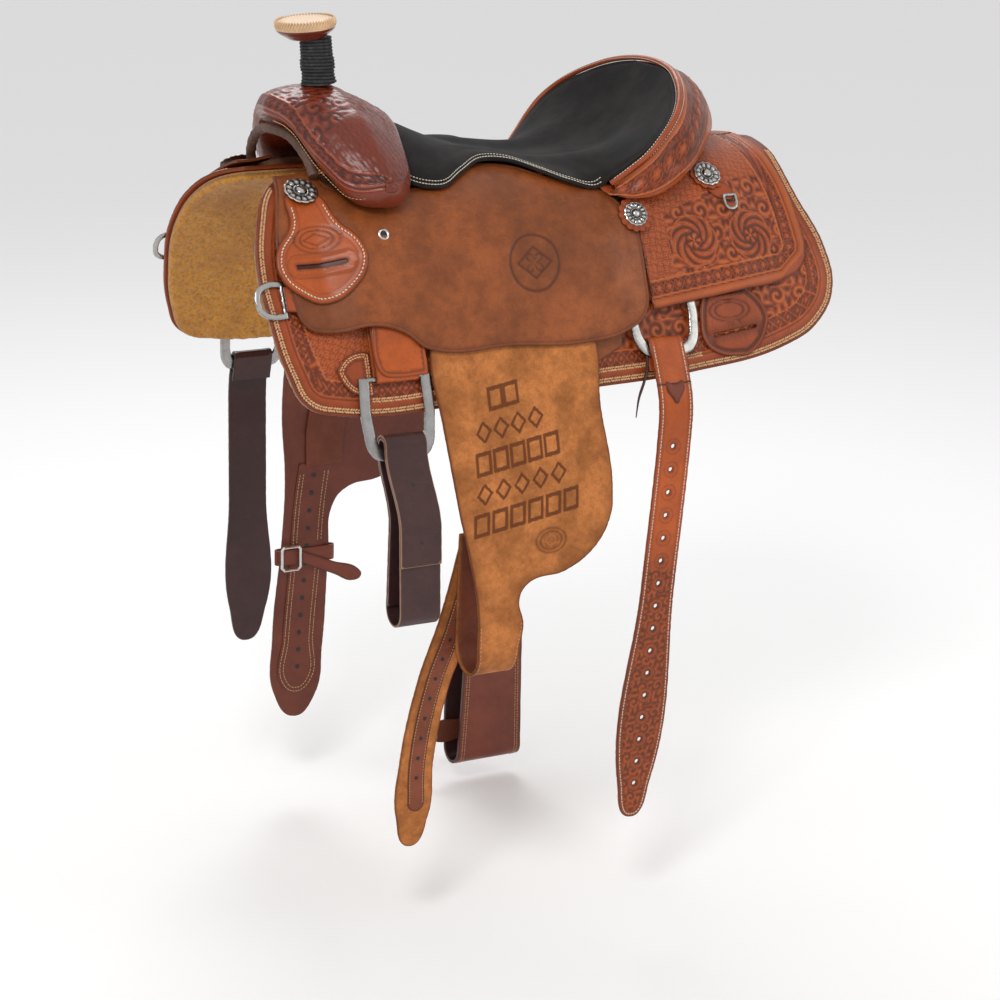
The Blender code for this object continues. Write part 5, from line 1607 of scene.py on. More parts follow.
def make_rear_plate(tag, side):
    place = BODY.over(side)
    kite = (
        (0.227, 0.264, 1), (0.292, 0.262, 1), (0.318, 0.296), (0.318, 0.315), (0.286, 0.352), (0.272, 0.353),
        (0.236, 0.346), (0.2195, 0.330), (0.2175, 0.300),
    )
    slot = (
        (0.2335, 0.3235), (0.2350, 0.3262, 1), (0.2990, 0.3190, 1), (0.3005, 0.3165), (0.2990, 0.3145, 1),
        (0.2350, 0.3212, 1)
    )

    def kite_relief(x, s, d):
        lines = line_at(d, 0.005, 0.0010, 1.0) + line_at(d, 0.0085, 0.0010, 1.0)
        oval = np.hypot((x - 0.262) / 0.030, (s - 0.293) / 0.014)
        rings = (line_at(oval, 1.0, 0.07) + line_at(oval, 0.72, 0.07)) * (d > 0.010)
        return -0.0007 * (lines + rings), -0.8 * (lines + rings) - 0.1

    panel(
        f"rear_plate_leather_{tag}", [kite], place, LAYER_GAP, 0.0036, TOOLED, "saddle",
        [f"rear_slot_plate_{tag}"], holes=[slot], relief=kite_relief, grid=0.0022,
        rings=(0.0005, 0.0013, 0.003, 0.005, 0.0085),
    )


def to_keeper_slot(x, s, half):
    """Distance to the keeper's slot, taken as a line of a half length."""
    return np.hypot(np.maximum(np.abs(x - KEEPER_SLOT[0]) - half, 0), s - KEEPER_SLOT[1])


def make_keeper(tag, side):
    place = BODY.over(side)
    pear = (
        (-0.318, 0.100), (-0.285, 0.100), (-0.268, 0.142), (-0.250, 0.168), (-0.246, 0.195), (-0.262, 0.222),
        (-0.300, 0.239), (-0.331, 0.2275), (-0.3535, 0.202), (-0.352, 0.172), (-0.328, 0.140),
    )
    slot = (
        (-0.3290, 0.1890, 1), (-0.3305, 0.1918), (-0.3290, 0.1945, 1), (-0.2710, 0.1955, 1),
        (-0.2695, 0.1928), (-0.2710, 0.1900, 1)
    )

    def pear_relief(x, s, d):
        border = np.clip((0.0105 - d) / 0.0020, 0, 1) * (to_keeper_slot(x, s, 0.029) > 0.010)
        u, v = x - KEEPER_MARK[0], s - KEEPER_MARK[1]
        oval = np.hypot(u / 0.031, v / 0.0175)
        rope = line_at(oval, 0.92, 0.07) * (0.75 + 0.25 * np.sin(np.arctan2(v / 0.0175, u / 0.031) * 44))
        lozenge = np.abs(u) / 0.016 + np.abs(v) / 0.0075
        mark = rope + line_at(oval, 0.66, 0.05) + line_at(lozenge, 1.0, 0.14)
        wear_and_shade = -0.85 * mark - line_at(d, 0.0118, 0.0010, 0.5) - 0.15 * border
        return 0.0008 * border - 0.0008 * mark, wear_and_shade

    panel(
        f"latigo_keeper_leather_{tag}", [pear], place, keeper_low,
        lambda x, s: keeper_low(x, s) + 0.0032, ORANGE, "saddle",
        [f"latigo_keeper_{tag}"], holes=[slot], relief=pear_relief, grid=0.0018,
    )
    sizes = (0.0044, 0.0034, 0.0017, 0.0008)
    row = (
        pear, [0.0058], place, lambda x, s: keeper_low(x, s) + 0.0044, sizes, lambda x, s: s > 0.118, 0.25
    )
    stitched(f"keeper_stitching_{tag}", WHITE, "saddle", row)
    centre = np.array((-0.299, 0.175))
    ply = tuple(tuple(centre + (np.array(p) - centre) * 0.975) for p in pear)
    # The lining is made dark round the keeper's slot: painted shade seen through the slot.
    panel(
        f"keeper_lining_{tag}", [ply], place, lambda x, s: keeper_low(x, s) - 0.0007,
        lambda x, s: keeper_low(x, s) - 0.0001,
        STRAP, "saddle", relief=lambda x, s, d: (0 * x, -1.0 * (to_keeper_slot(x, s, 0.031) < 0.008)),
        grid=0.0035, rings=(0.0005,), round_edge=0.0005,
    )


def make_breast_dee(tag, side):
    place, body = BODY.over(side), f"breast_dee_{tag}"
    shape = (0.046, 0.036, 0.0065, 0.0022)
    make_dee(
        f"breast_ring_{tag}", turned_dee(side, -0.352, 0.228, 0.0036), shape, 0.0018, SILVER, body, [body]
    )
    chape = ((-0.3515, 0.2130, 1), (-0.3515, 0.2430, 1), (-0.320, 0.2480, 1), (-0.320, 0.2080, 1))
    panel(f"breast_chape_{tag}", [chape], place, 0.0069, 0.0084, TOOLED, "saddle", grid=0.004, step=0.003)


def concho(name, place, x, s, n, radius, lobes, rosette):
    """A cast concho with fluted petals, a rope ring and a domed middle, on a scalloped leather rosette."""
    here = place(x, s, n)
    normal = unit(place(x, s, n + 0.01) - here)
    along = -FORWARD
    across = np.cross(normal, along)
    rings, count = 30, lobes * 10
    turn = 2 * pi * np.arange(count) / count

    def disc(scale, deep, lobed, height, wear_of, look, title, replaces=()):
        rows, shade = [], []
        for i in range(rings + 1):
            q = i / rings
            edge = 1 + lobed * (np.abs(np.cos(turn * lobes / 2)) - 0.5) * q**4
            r = radius * scale * q * edge
            h = height(q, turn)
            flat = np.outer(r * np.cos(turn), along) + np.outer(r * np.sin(turn), across)
            rows.append(here + flat + np.outer(h, normal))
            shade.append(wear_of(q, turn))
        # The rim wall and the back get a fixed dark value: painted shade under the concho.
        rows.append(rows[-1] - normal * deep)
        shade.append(shade[-1] * 0 - 0.6)
        points = np.vstack(rows + [[here - normal * deep]])
        shade = np.append(np.concatenate(shade), -0.5)
        n_rows = rings + 2
        faces = []
        for i in range(n_rows - 1):
            for k in range(count):
                m = (k + 1) % count
                faces.append((i * count + k, (i + 1) * count + k, (i + 1) * count + m, i * count + m))
        last = len(points) - 1
        faces += [
            ((n_rows - 1) * count + (k + 1) % count, (n_rows - 1) * count + k, last) for k in range(count)
        ]
        if np.dot(np.cross(along, across), normal) < 0:
            faces = [tuple(reversed(face)) for face in faces]
        return make_object(title, points, faces, look, "saddle", replaces, shade)

    def flutes(q, t):
        petal = np.abs(np.cos(t * lobes / 2))
        dome = 0.0034 * np.sqrt(max(0.0, 1 - (q / 0.34) ** 2)) if q < 0.34 else 0.0
        ring = 0.0010 * line_at(q, 0.42, 0.05) * (0.6 + 0.4 * np.cos(t * 36))
        field = 0.0016 * line_at(q, 0.70, 0.17) * petal
        rim = 0.0007 * line_at(q, 0.93, 0.05)
        return 0.0012 + dome + ring + field + rim + 0 * t

    def tarnish(q, t):
        petal = np.abs(np.cos(t * lobes / 2))
        if q < 0.30:
            return 0 * t + (0.0 if q < 0.2 else -0.25)
        if q < 0.50:
            return -1.0 + 0.9 * line_at(q, 0.42, 0.04) * (0.5 + 0.5 * np.cos(t * 36))
        return np.clip(-1.0 + 1.25 * petal * line_at(q, 0.70, 0.14) + (q > 0.90) * 0.9, -1, 0)

    disc(0.97, 0.0008, 0.07, flutes, tarnish, SILVER, name + "_cast", [name])
    if rosette:
        disc(
            rosette, 0.0012, 0.10, lambda q, t: 0.0003 * np.abs(np.cos(t * lobes / 2)) * (q > 0.8),
            lambda q, t: 0 * t - 0.5 * (1 - np.abs(np.cos(t * lobes / 2))) * (q > 0.7),
            TOOLED, name + "_rosette",
        )


def make_conchos(tag, side):
    place = BODY.over(side)
    concho(
        f"front_concho_{tag}", place, -0.300, 0.0985, float(keeper_low(-0.3, 0.1)) + 0.0065, 0.0215, 12, 0
    )
    concho(f"side_concho_{tag}", place, 0.141, 0.163, 0.0235, 0.0165, 14, 1.40)
    concho(f"rear_concho_{tag}", place, 0.268, 0.116, 0.0170, 0.0190, 12, 1.22)
    hang = dee_place(side, 0.289, 0.146, 0.0185, radians(60))
    body = f"string_dee_{tag}"
    make_dee(f"string_ring_{tag}", hang, (0.020, 0.020, 0.0032, 0.0016), 0.0012, SILVER, body, [body])
    tab = (
        (0.268, 0.118), (0.279, 0.122), (0.2975, 0.1385), (0.2970, 0.1480), (0.2820, 0.1500), (0.262, 0.136)
    )
    panel(f"string_tab_{tag}", [tab], place, 0.0151, 0.0162, TOOLED, "saddle", grid=0.004, step=0.002)
    high = float(jockey_high(*GROMMET))
    ring = circle_on(place, *GROMMET, 0.0058, high + 0.0008, 28)
    make_object(f"grommet_{tag}", *swept(ring, 0.0017, 8, closed=True), SILVER, "saddle")
    # A dark disc in the grommet: painted shade in the hole.
    hole = circle(*GROMMET, 0.0045, 10)
    panel(
        f"grommet_hole_{tag}", [hole], place, high, high + 0.0003, HOLE_SHADE, "saddle", grid=0.004, rings=(),
        step=0.002
    )


# Fenders and straps


def fender_profile(fall):
    start = BODY.at(FENDER_TANGENT, FENDER_OFFSET)
    slope = float(np.interp(FENDER_TANGENT, BODY.s, BODY.angle))
    top = 0.160
    out = start[0] - (FENDER_TANGENT - top) * cos(slope)
    z = start[1] + (FENDER_TANGENT - top) * sin(slope)
    tilt = np.degrees(slope)
    return Profile((out, z), ((top, tilt), (0.420, tilt), *fall))


LOOP_START = 0.700
LOOP_RADIUS = 0.034
LOOP_ARC = pi * LOOP_RADIUS
LOOP_END = LOOP_START + LOOP_ARC + 0.170
FENDERS = {
    "near": fender_profile(((0.520, 88), (LOOP_START, 88), (LOOP_START + LOOP_ARC, 272), (LOOP_END, 272))),
    "off": fender_profile(((0.560, 86), (1.000, 88))),
}


def fender_relief(x, s, d):
    """Burnished edges, and plain bars of geometric tooling in rows."""
    rise, wear_and_shade = 0 * x, -0.35 * line_at(d, 0, 0.010)
    lean = 0.16
    t = s + lean * x
    for row, (middle, low, high, marks) in enumerate((
        (0.357, -0.105, -0.062, 2), (0.395, -0.128, -0.030, 4), (0.433, -0.132, -0.012, 5),
        (0.471, -0.134, -0.004, 5), (0.509, -0.138, 0.012, 6),
    )):
        u = (x - low) / (high - low) * marks
        a, b = u % 1 - 0.5, (t - middle) / 0.026
        pitch = (high - low) / marks
        if row % 2:
            shape = np.abs(np.abs(a) * pitch / 0.0095 + np.abs(b) * 2.2 - 1.0)
        else:
            shape = np.abs(np.maximum(np.abs(a) * pitch / 0.0090, np.abs(b) * 2.1) - 1.0)
        ink = np.clip(1.35 - shape / 0.20, 0, 1) * (u > 0) * (u < marks) * (np.abs(b) < 0.62)
        rise, wear_and_shade = rise - 0.0006 * ink, np.where(ink > 0.3, -2.0 * ink, wear_and_shade)
    oval = np.hypot((x + 0.028) / 0.021, (s - 0.560) / 0.016)
    ring = line_at(oval, 1, 0.08) + line_at(oval, 0.72, 0.08) + motif(x, s, -0.028, 0.560, 0.009)
    return rise - 0.0006 * ring, wear_and_shade - 0.75 * ring


def make_fender(tag, side):
    place = FENDERS[tag].over(side)
    body = f"fender_{tag}"
    outline = ((0.030, 0.250), (-0.010, 0.212, 1), (-0.110, 0.212, 1), (-0.150, 0.250), (-0.1725, 0.295))
    if tag == "near":
        end = LOOP_START + LOOP_ARC + 0.145
        left, right = -0.130, -0.072
        outline += ((-0.1695, 0.400), (-0.158, 0.500), (-0.142, 0.570), (left, 0.640), (left, LOOP_START))
        outline += (
            (left, end, 1), (right, end, 1), (right, LOOP_START), (right + 0.006, 0.665), (right, 0.632)
        )
        outline += ((-0.060, 0.613), (-0.005, 0.602), (0.035, 0.577), (0.057, 0.540), (0.060, 0.500))
        strap_end = 0.645
    else:
        outline += ((-0.1695, 0.400), (-0.166, 0.520), (-0.158, 0.620), (-0.160, 0.700), (-0.172, 0.860))
        outline += ((-0.168, 0.945), (-0.135, 0.985), (-0.104, 0.955), (-0.094, 0.880), (-0.088, 0.740))
        outline += (
            (-0.082, 0.660), (-0.062, 0.640), (-0.010, 0.630), (0.035, 0.605), (0.057, 0.565), (0.060, 0.520)
        )
        strap_end = 0.600
    outline += ((0.052, 0.400), (0.055, 0.310))
    panel(
        f"fender_leather_{tag}", [outline], place, -0.0035, 0.0,
        ROUGH if tag == "near" else STRAP, body, [f"fender_{tag}"],
        relief=fender_relief if tag == "near" else None, grid=0.0045, round_edge=0.0015,
        fine=(lambda x, s: (s > 0.335) & (s < 0.585)) if tag == "near" else None, fine_grid=0.0017,
    )
    if tag == "off":
        make_off_leg(place, body, outline)
    strap = (
        (-0.095, SWING_TOP, 1), (-0.130, strap_end - 0.05, 1),
        (-0.128, strap_end, 1), (-0.074, strap_end, 1),
        (-0.072, strap_end - 0.05, 1), (-0.037, SWING_TOP, 1),
    )
    panel(
        f"stirrup_leather_strap_{tag}", [strap], place, -0.0075, -0.0041, INNER, body,
        [f"stirrup_leather_{tag}"], grid=0.008
    )
    if tag == "near":
        left, right = left + 0.003, right - 0.003
        lining = ((left, 0.668, 1), (left, end - 0.004, 1), (right, end - 0.004, 1), (right, 0.668, 1))
        panel(
            "stirrup_loop_lining", [lining], place, -0.0058, -0.0039, INNER, body, grid=0.004,
            rings=(0.0005, 0.0013)
        )
        row = (
            outline, [0.0035], place, 0.0001, (0.0050, 0.0026, 0.0009, 0.0004), lambda x,
            s: (s > 0.66) & (s < end - 0.006)
        )
        stitched("stirrup_loop_stitching", TAN, body, row)


def make_off_leg(place, body, outline):
    """The band, stitching and holes of the off stirrup leather, which hangs from the off fender."""
    heights = np.array((0.596, 0.66, 0.74, 0.86, 0.93))
    mids = np.array((-0.113, -0.120, -0.124, -0.132, -0.134))
    band = [(m - 0.025, h) for h, m in zip(heights, mids)] + [(-0.134, 0.948)]
    band += [(m + 0.025, h) for h, m in zip(heights[::-1], mids[::-1])]
    band[0], band[-1] = (*band[0], 1), (*band[-1], 1)
    spots = [(float(np.interp(s, heights, mids)), float(s)) for s in np.arange(0.615, 0.93, 0.0265)]
    panel(
        "off_leg_band", [band], place, -0.0050, -0.0036, STRAP, body, grid=0.004, rings=(0.0005,),
        round_edge=0.0005
    )
    punched(place, spots, 0.0034, -0.0050, "off_leg_holes", body)

    def clear_of_hobble(x, s):
        return (s > 0.61) & ((s < 0.716) | (s > 0.754))

    on_band = (band, (0.0035, 0.0090), place, -0.0052, (0.0046, 0.0030, 0.0012, 0.0006), clear_of_hobble)
    on_face = (
        outline, (0.008, 0.0125), place, 0.0002, (0.0048, 0.0030, 0.0011, 0.0005), lambda x, s: s > 0.64
    )
    stitched("off_fender_stitching", TAN, body, on_band, on_face)
    # Dark rings and pegs for the holes: painted shade in the holes.
    holes = Heap()
    for s in 0.665 + 0.030 * np.arange(9):
        leg = float(np.interp(s, (0.66, 0.74, 0.86, 0.95), (-0.118, -0.124, -0.132, -0.135)))
        holes.add(*swept(circle_on(place, leg, s, 0.0030, 0.0003), 0.0009, 6, closed=True))
        add_peg(holes, place, leg, s, 0.0030, 0.0005, 0.0001)
    holes.done("off_fender_holes", HOLE_SHADE, body)


def make_tail():
    """The near stirrup leather's free end, with its punched strip."""
    top, height = FENDERS["near"].at(LOOP_END - 0.040, STRAP_GAP + 0.0040)
    fall = Profile((float(top), float(height)), ((0.0, 92), (0.120, 92), (0.200, 90), (0.460, 90)))
    place = fall.over(-1)
    outline = ((-0.126, 0.0, 1), (-0.152, 0.100), (-0.180, 0.180), (-0.204, 0.290), (-0.208, 0.360))
    outline += (
        (-0.188, 0.405), (-0.162, 0.365), (-0.156, 0.290), (-0.138, 0.200), (-0.108, 0.120), (-0.078, 0.0, 1)
    )
    panel(
        "stirrup_tail_leather", [outline], place, 0.0, 0.0038, ROUGH, "fender_near", ["stirrup_tail_near"],
        grid=0.004
    )
    spine = curve_through(
        ((-0.104, 0.010), (-0.131, 0.110), (-0.160, 0.190), (-0.180, 0.290), (-0.181, 0.345)), 0.002, False
    )
    way = np.gradient(spine, axis=0)
    way /= np.linalg.norm(way, axis=1)[:, None]
    across = np.stack([-way[:, 1], way[:, 0]], -1)
    half = 0.0115
    cap = [
        spine[-1] + half * (way[-1] * sin(t) + across[-1] * cos(t)) for t in np.linspace(0.3, pi - 0.3, 7)
    ]
    strip = [tuple(p) for p in (*(spine + across * half)[::6], *cap, *(spine - across * half)[::-6])]
    panel("stirrup_tail_strip", [strip], place, 0.0037, 0.0054, INNER, "fender_near", grid=0.004, step=0.003)
    rows, holes = Heap(), Heap()
    for edge_side in (-1, 1):
        line = evenly(spine + across * (half - 0.0024) * edge_side, 0.001, False)
        stitches(rows, line, place, 0.0055, 0.0040, 0.0024, 0.0009, 0.0005, closed=False)
    line = evenly(spine, 0.001, False)
    # Dark pegs for the strip's punched holes: painted shade in the holes.
    for i in range(14, len(line) - 8, 27):
        x, s = line[i]
        add_peg(holes, place, x, s, 0.0026, 0.0058, 0.0050, 12)
    rows.done("stirrup_tail_stitching", TAN, "fender_near")
    holes.done("stirrup_tail_holes", HOLE_SHADE, "fender_near")


def coil_profile(top, drop, neck, belly, centre, turns, pitch):
    """A strap wound in long drooping loops, tight over a ring at the top and slack at the bottom."""
    lean = np.degrees((belly - neck) / drop)
    start = (centre - neck - drop * (belly - neck) / drop, top - drop)
    knots = [(0.0, lean - 90), (drop, lean - 90)]
    length, heading = drop, lean - 90
    for i in range(2 * turns - 1):
        radius, turn = (neck, 180 - 2 * lean) if i % 2 == 0 else (belly, 180 + 2 * lean)
        length += radians(turn) * (radius + pitch * i / 2)
        heading += turn
        knots.append((length, heading))
        length += drop
        knots.append((length, heading))
    return Profile(start, knots), length


def dee_bottom(dee):
    """(out, z) of the middle of a hanging dee's lower arc."""
    out, z = BODY.at(dee["s"], dee["n"])
    middle = dee["drop"] - dee["band"] / 2
    return float(out + middle * cos(dee["slope"])), float(z - middle * sin(dee["slope"]))


def make_latigo():
    out, z = dee_bottom(FRONT_DEE)
    top = z + FRONT_DEE["band"] / 2 + 0.0060
    fall, end = coil_profile(top, 0.214, 0.0070, 0.0165, out, 2, LATIGO_PITCH)

    def sway(height):
        share = np.clip((top - height) / 0.110, 0, 1)
        return 0.0195 * share * share * (3 - 2 * share)

    last = end - 0.06
    outline = ((-0.2520, 0.0, 1), (-0.2520, last, 1), (-0.1970, last, 1), (-0.1970, 0.0, 1))
    place = fall.over(-1, sway)

    def pale_edge(x, s, d, wear_and_shade):
        return np.where(d < 0.0012, 0.9, wear_and_shade + 0.9 * line_at(d, 0, WORN_EDGE))

    panel("latigo_strap", [outline], place, 0.0, LATIGO_THICK, LATIGO, "latigo", ["latigo"], grid=0.0035,
          paint=pale_edge, round_edge=0.0009)
    spots = [(FRONT_DEE["x"], last - 0.030 - 0.075 * i) for i in range(3)]
    punched(place, spots, 0.0026, LATIGO_THICK, "latigo_holes", "latigo")


def billet_profile(dee, fall_length):
    out, z = dee_bottom(dee)
    band, slope = dee["band"], dee["slope"]
    radius, back = 0.0038, 0.034
    arc = pi * radius
    tilt = np.degrees(slope)
    foot = np.array((out, z)) + np.array((-cos(slope), sin(slope))) * (band / 2 + 0.0055)
    start = foot + np.array((-sin(slope), -cos(slope))) * radius + np.array((cos(slope), -sin(slope))) * back
    settle = back + arc + (0.055 if z > -0.22 else 0.020)
    end = back + arc + fall_length
    knots = (
        (0.0, tilt - 180), (back, tilt - 180), (back + arc, tilt), (settle, tilt), (settle + 0.050, 90),
        (end, 90)
    )
    return Profile(tuple(start), knots), back + arc, end


def strap_outline(x, half, first, end, lean, tip):
    mid, low = (first + end) / 2, end - 0.050 if tip else end
    bow = 0.42 * lean
    outline = [(x - half, 0.0, 1), (x - half, 0.120), (x - half - bow, mid), (x - half - lean, low)]
    outline += [(x - lean - 0.004, end)] if tip else [(x - half - lean, end, 1), (x + half - lean, end, 1)]
    return outline + [(x + half - lean, low), (x + half - bow, mid), (x + half, 0.120), (x + half, 0.0, 1)]


def make_near_billet():
    fall, first, end = billet_profile(REAR_DEE, 0.640)
    place = fall.over(-1)
    x, half, lean = 0.1540, 0.0245, 0.042
    outline = strap_outline(x, half, first, end, lean, True)

    def centre(s):
        return x - lean * np.interp(s, (0.120, (first + end) / 2, end - 0.05), (0, 0.42, 1))

    def relief(u, s, d):
        tooled = (s > first + 0.300) & (d > 0.0080)
        rise, wear_and_shade = carved(scrolls(u - centre(s) + 0.5, s, 0.022, 0.4))
        lower = np.clip((s - first - 0.275) / 0.03, 0, 1)
        rise, wear_and_shade = np.where(tooled, rise, 0.0), np.where(tooled, wear_and_shade * 0.8 - 0.15, -0.05 * lower)
        rise = rise - line_at(d, 0.0072, 0.0009, 0.0005)
        return rise, np.clip(wear_and_shade - line_at(d, 0.0072, 0.0010, 0.5) - 0.35 * lower, -1, 0.6)

    spots = [(float(centre(s)), float(s)) for s in np.arange(first + 0.135, end - 0.03, 0.0305)]
    holes = [circle(u, s, 0.0030, 12) for u, s in spots]
    body = "rear_billet_near"
    panel("rear_billet_leather", [outline], place, 0.0, 0.0040, ORANGE, body, [body], relief=relief,
          holes=holes, grid=0.0022)
    row = (
        outline, [0.0042], place, 0.0042, (0.0040, 0.0030, 0.0012, 0.0006), lambda x, s: s > first + 0.004
    )
    stitched("rear_billet_stitching", WHITE, body, row)
    at = first + 0.062
    shield = (
        (-0.0120, -0.010, 1), (0, -0.006), (0.0120, -0.010, 1), (0.0125, 0), (0.0050, 0.012), (0, 0.018),
        (-0.0050, 0.012), (-0.0125, 0),
    )
    shield = [(x + u, at + v, *corner) for u, v, *corner in shield]
    left, right, high, low = x - half, x + half, at - 0.0075, at - 0.0060
    seam = ((left, high, 1), (right, high, 1), (right, low, 1), (left, low, 1))
    panel("rear_billet_seam", [seam], place, 0.0040, 0.0050, STRAP, body, grid=0.004,
          step=0.002, rings=(0.0004,),
          round_edge=0.0003)
    panel("rear_billet_lace", [shield], place, 0.0042, 0.0062, STRAP, body, grid=0.003, step=0.002)


def make_off_billet(node_name, dee, x, half, fall_length, look, sewn):
    """A billet on the off side, with its holes. Returns how far out its end hangs."""
    fall, first, end = billet_profile(dee, fall_length)
    place = fall.over(1)
    outline = strap_outline(x, half, first, end, 0.0, True)
    panel(f"{node_name}_leather", [outline], place, 0.0, 0.0040, look, node_name, [node_name], grid=0.005)
    if sewn:
        row = (
            outline, [0.0042], place, 0.0042, (0.0042, 0.0028, 0.0011, 0.0005), lambda x,
            s: s > first + 0.004
        )
        stitched(f"{node_name}_stitching", TAN, node_name, row)
    spots = [(x, float(s)) for s in np.arange(first + 0.10, end - 0.03, 0.0305)]
    punched(place, spots, 0.0024, 0.0040, f"{node_name}_holes", node_name)
    return float(fall.at(end)[0])


def make_flank_cinch(cinch_out):
    """The cinch that hangs from the off rear billet, with its tab and ring."""
    body, drop, fold = "rear_billet_off", 0.375, 0.022
    arc = pi * fold
    end = drop + arc + 0.17
    fall = Profile((cinch_out, -0.520), ((0.0, 90), (drop, 90), (drop + arc, 270), (end, 270)))
    place = fall.over(1)
    outline = (
        (0.136, 0.0, 1), (0.134, 0.080), (0.116, 0.130), (0.098, 0.190), (0.098, end, 1), (0.192, end, 1),
        (0.192, 0.190), (0.188, 0.130), (0.176, 0.080), (0.174, 0.0, 1),
    )
    panel(
        "flank_cinch_leather", [outline], place, -0.0024, 0.0, STRAP, body, ["flank_cinch"], grid=0.005,
        round_edge=0.0010
    )
    panel(
        "flank_cinch_lining", [outline], place, -0.0050, -0.0025, LATIGO, body, grid=0.008, round_edge=0.0010
    )
    rows = (outline, (0.006, 0.010), place, 0.0001, (0.0040, 0.0026, 0.0010, 0.0005), lambda x, s: s > 0.01)
    stitched("flank_cinch_stitching", TAN, body, rows)
    low = drop - 0.024
    tab = ((0.062, low - 0.008), (0.062, low + 0.008), (0.126, low + 0.014, 1), (0.126, low - 0.014, 1))
    hole = circle(0.070, low, 0.0034, 10)
    panel("cinch_tab_leather", [tab], place, -0.0090, -0.0056, INNER, body, ["cinch_tab"],
          holes=[hole], grid=0.004, step=0.002,
          rings=(0.0005,), round_edge=0.0008)
    relook("cinch_ring", SILVER)


def make_hobble():
    """The strap round the off stirrup leather, with its buckle and free end."""
    leg, half, s, wall, slack = -0.124, 0.038, 0.735, 0.0030, 0.0020
    face, inner = FENDERS["off"].at(s, 0.0), FENDERS["off"].at(s, -0.0035)
    z = float(face[1])
    x_low, x_high = leg - half - slack - 0.004, leg + half + slack + 0.002
    y_low, y_high = float(inner[0]) - slack, float(face[0]) + slack
    corner = 0.0050
    path = []
    for cx, cy, start in ((x_high - corner, y_high - corner, 0), (x_low + corner, y_high - corner, 90),
                          (x_low + corner, y_low + corner, 180), (x_high - corner, y_low + corner, 270)):
        for k in range(7):
            angle = radians(start + 15 * k)
            path.append((cx + (corner + wall / 2) * cos(angle), cy + (corner + wall / 2) * sin(angle)))
    path = evenly(np.array(path), 0.003)
    count = len(path)
    centre = path.mean(0)
    way = np.roll(path, -1, 0) - np.roll(path, 1, 0)
    normal = np.stack([way[:, 1], -way[:, 0]], -1) / np.linalg.norm(way, axis=1)[:, None]
    normal *= np.sign(np.sum(normal * (path - centre), 1))[:, None]
    section = [
        (-0.5, -0.40), (-0.5, 0.40), (-0.40, 0.5), (0.40, 0.5), (0.5, 0.40), (0.5, -0.40), (0.40, -0.5),
        (-0.40, -0.5)
    ]
    points, faces = [], []
    for p, n in zip(path, normal):
        for across, up in section:
            points.append((p[0] + n[0] * across * wall, p[1] + n[1] * across * wall, z + up * 0.022))
    for i in range(count):
        j = (i + 1) % count
        for k in range(8):
            m = (k + 1) % 8
            faces.append((i * 8 + k, i * 8 + m, j * 8 + m, j * 8 + k))
    make_object("hobble_leather", points, faces, STRAP, "fender_off", ["hobble_strap"])
    relook("hobble_buckle", SILVER)
    front = y_low - wall

    def place(x, length, n):
        return np.stack(np.broadcast_arrays(x, front - 0.0003 - n + 0 * x, z - length), -1)

    end = (
        (leg - 0.0085, -0.008, 1), (leg - 0.0085, 0.009, 1), (leg + 0.040, 0.032), (leg + 0.072, 0.046),
        (leg + 0.084, 0.040), (leg + 0.080, 0.030), (leg + 0.040, 0.013),
    )
    panel(
        "hobble_end_leather", [end], place, 0.0, 0.0030, STRAP, "fender_off", ["hobble_end"], grid=0.004,
        step=0.002
    )


def make_strings(tag, side):
    """Saddle strings: two thin thongs that hang from the rear dee's leather."""
    place = BODY.over(side)
    fall = [place(0.128, 0.318, 0.0062), place(0.1285, 0.335, 0.0085), place(0.127, 0.352, 0.0095)]
    base = np.array(fall[-1])
    points = hermite(
        [
            *fall, base + (-0.003, 0, -0.020), base + (-0.010, 0, -0.042),
            base + (-0.014, side * 0.001, -0.068)
        ],
        40
    )
    radii = np.interp(np.arange(40), (0, 26, 39), (0.0019, 0.0019, 0.0007))
    points, faces = swept(points, radii, 8)
    make_object(f"saddle_string_{tag}", points, faces, LATIGO, "saddle")


def carry_over():
    """The hidden solids that keep their shape, in wood and plain leather."""
    for name in ("bar_near", "bar_off", "fork", "horn", "cantle"):
        relook(name, WOOD)
    relook("ground_seat", INNER)


# Stage


def make_camera():
    az, el, roll = radians(-27.7776), radians(17.1699), radians(1.41041)
    back = Vector((sin(az) * cos(el), -cos(az) * cos(el), sin(el)))
    flat_right = (-back).cross(Vector((0, 0, 1))).normalized()
    flat_up = flat_right.cross(-back)
    right = flat_right * cos(roll) + flat_up * sin(roll)
    up = -flat_right * sin(roll) + flat_up * cos(roll)
    data = bpy.data.cameras.new("camera")
    data.lens = 99.3278
    data.sensor_width = 36
    camera = bpy.data.objects.new("camera", data)
    bpy.context.scene.collection.objects.link(camera)
    matrix = Matrix((right, up, back)).transposed().to_4x4()
    matrix.translation = (-1.620835, -3.150148, 0.662976)
    camera.matrix_world = matrix
    bpy.context.scene.camera = camera


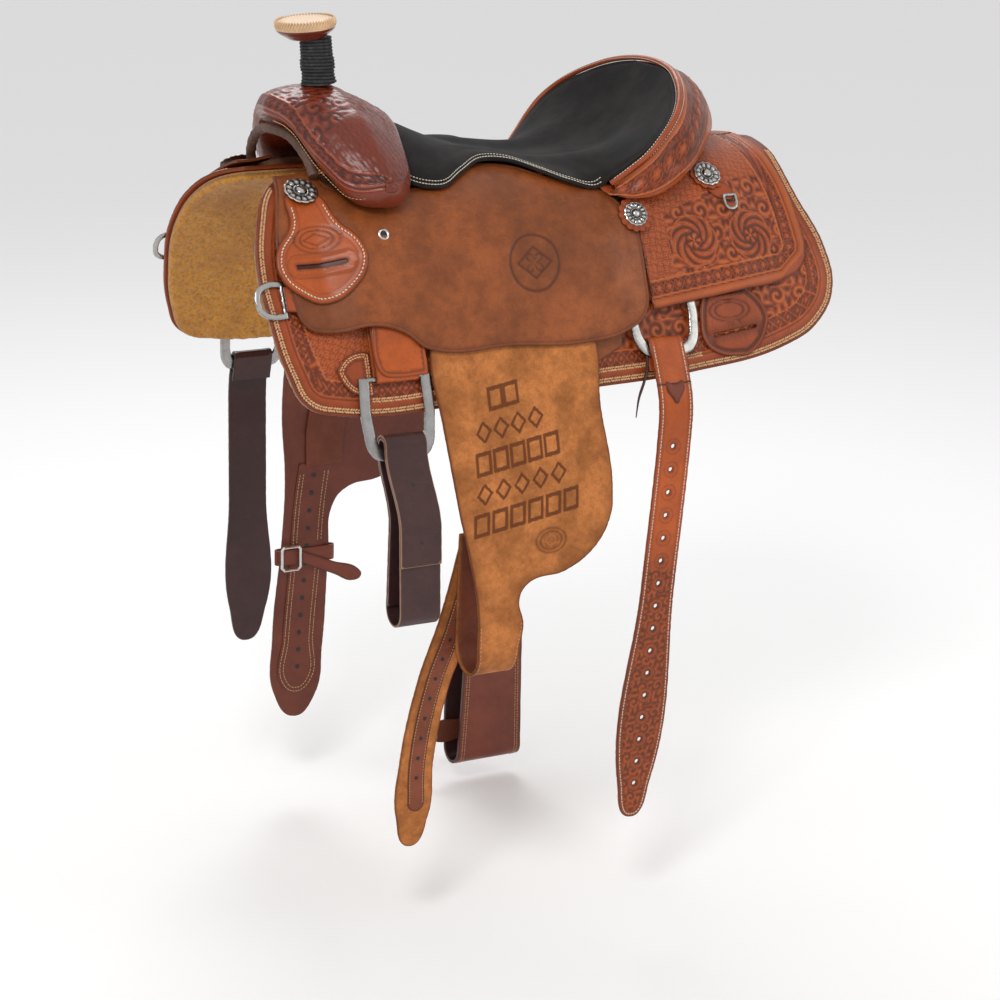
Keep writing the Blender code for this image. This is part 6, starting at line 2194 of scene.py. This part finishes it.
def area_light(name, place, aim, size, watts):
    data = bpy.data.lights.new(name, "AREA")
    data.size = size
    data.energy = watts
    light = bpy.data.objects.new(name, data)
    light.location = place
    light.rotation_euler = (Vector(aim) - Vector(place)).to_track_quat("-Z", "Y").to_euler()
    bpy.context.scene.collection.objects.link(light)


def make_stage():
    low = CAD_BOX[0].z - 0.03
    mesh = bpy.data.meshes.new("floor")
    far = 14.0
    mesh.from_pydata(
        [(-far, -far, low), (far, -far, low), (far, far, low), (-far, far, low)], [], [(0, 1, 2, 3)]
    )
    material, _, shader, _ = blank("pale_floor", 0.8)
    shader.inputs["Base Color"].default_value = (0.97, 0.97, 0.97, 1)
    mesh.materials.append(material)
    floor = bpy.data.objects.new("floor", mesh)
    bpy.context.scene.collection.objects.link(floor)
    world = bpy.data.worlds.new("studio")
    world.use_nodes = True
    background = world.node_tree.nodes["Background"]
    background.inputs["Color"].default_value = (1.0, 1.0, 1.0, 1)
    background.inputs["Strength"].default_value = 0.72
    bpy.context.scene.world = world
    area_light("key", (-1.8, -2.2, 2.3), (0, 0, -0.1), 0.9, 48)
    area_light("fill", (2.4, -2.0, 1.0), (0, 0, -0.2), 1.6, 10)
    area_light("rim", (0.6, 2.0, 2.0), (0, 0, 0), 1.4, 28)
    bpy.context.scene.view_settings.view_transform = "Standard"


make_camera()
make_stage()
for tag, side in SIDES.items():
    make_skirts(tag, side)
    make_jockeys(tag, side)
    make_front_rigging(tag, side)
    make_rear_rigging(tag, side)
    make_rear_plate(tag, side)
    make_keeper(tag, side)
    make_breast_dee(tag, side)
    make_conchos(tag, side)
    make_fender(tag, side)
    make_strings(tag, side)
make_fork()
make_gullet_rim()
make_horn_wrap()
make_horn_cap()
make_horn_lacing()
make_cantle()
make_seat()
make_tail()
make_latigo()
make_near_billet()
rear_end = make_off_billet("rear_billet_off", REAR_DEE, 0.155, 0.0225, 0.430, STRAP, True)
make_off_billet("off_billet", FRONT_DEE, FRONT_DEE["x"], 0.0275, 0.420, LATIGO, False)
make_flank_cinch(rear_end - STRAP_GAP)
make_hobble()
carry_over()
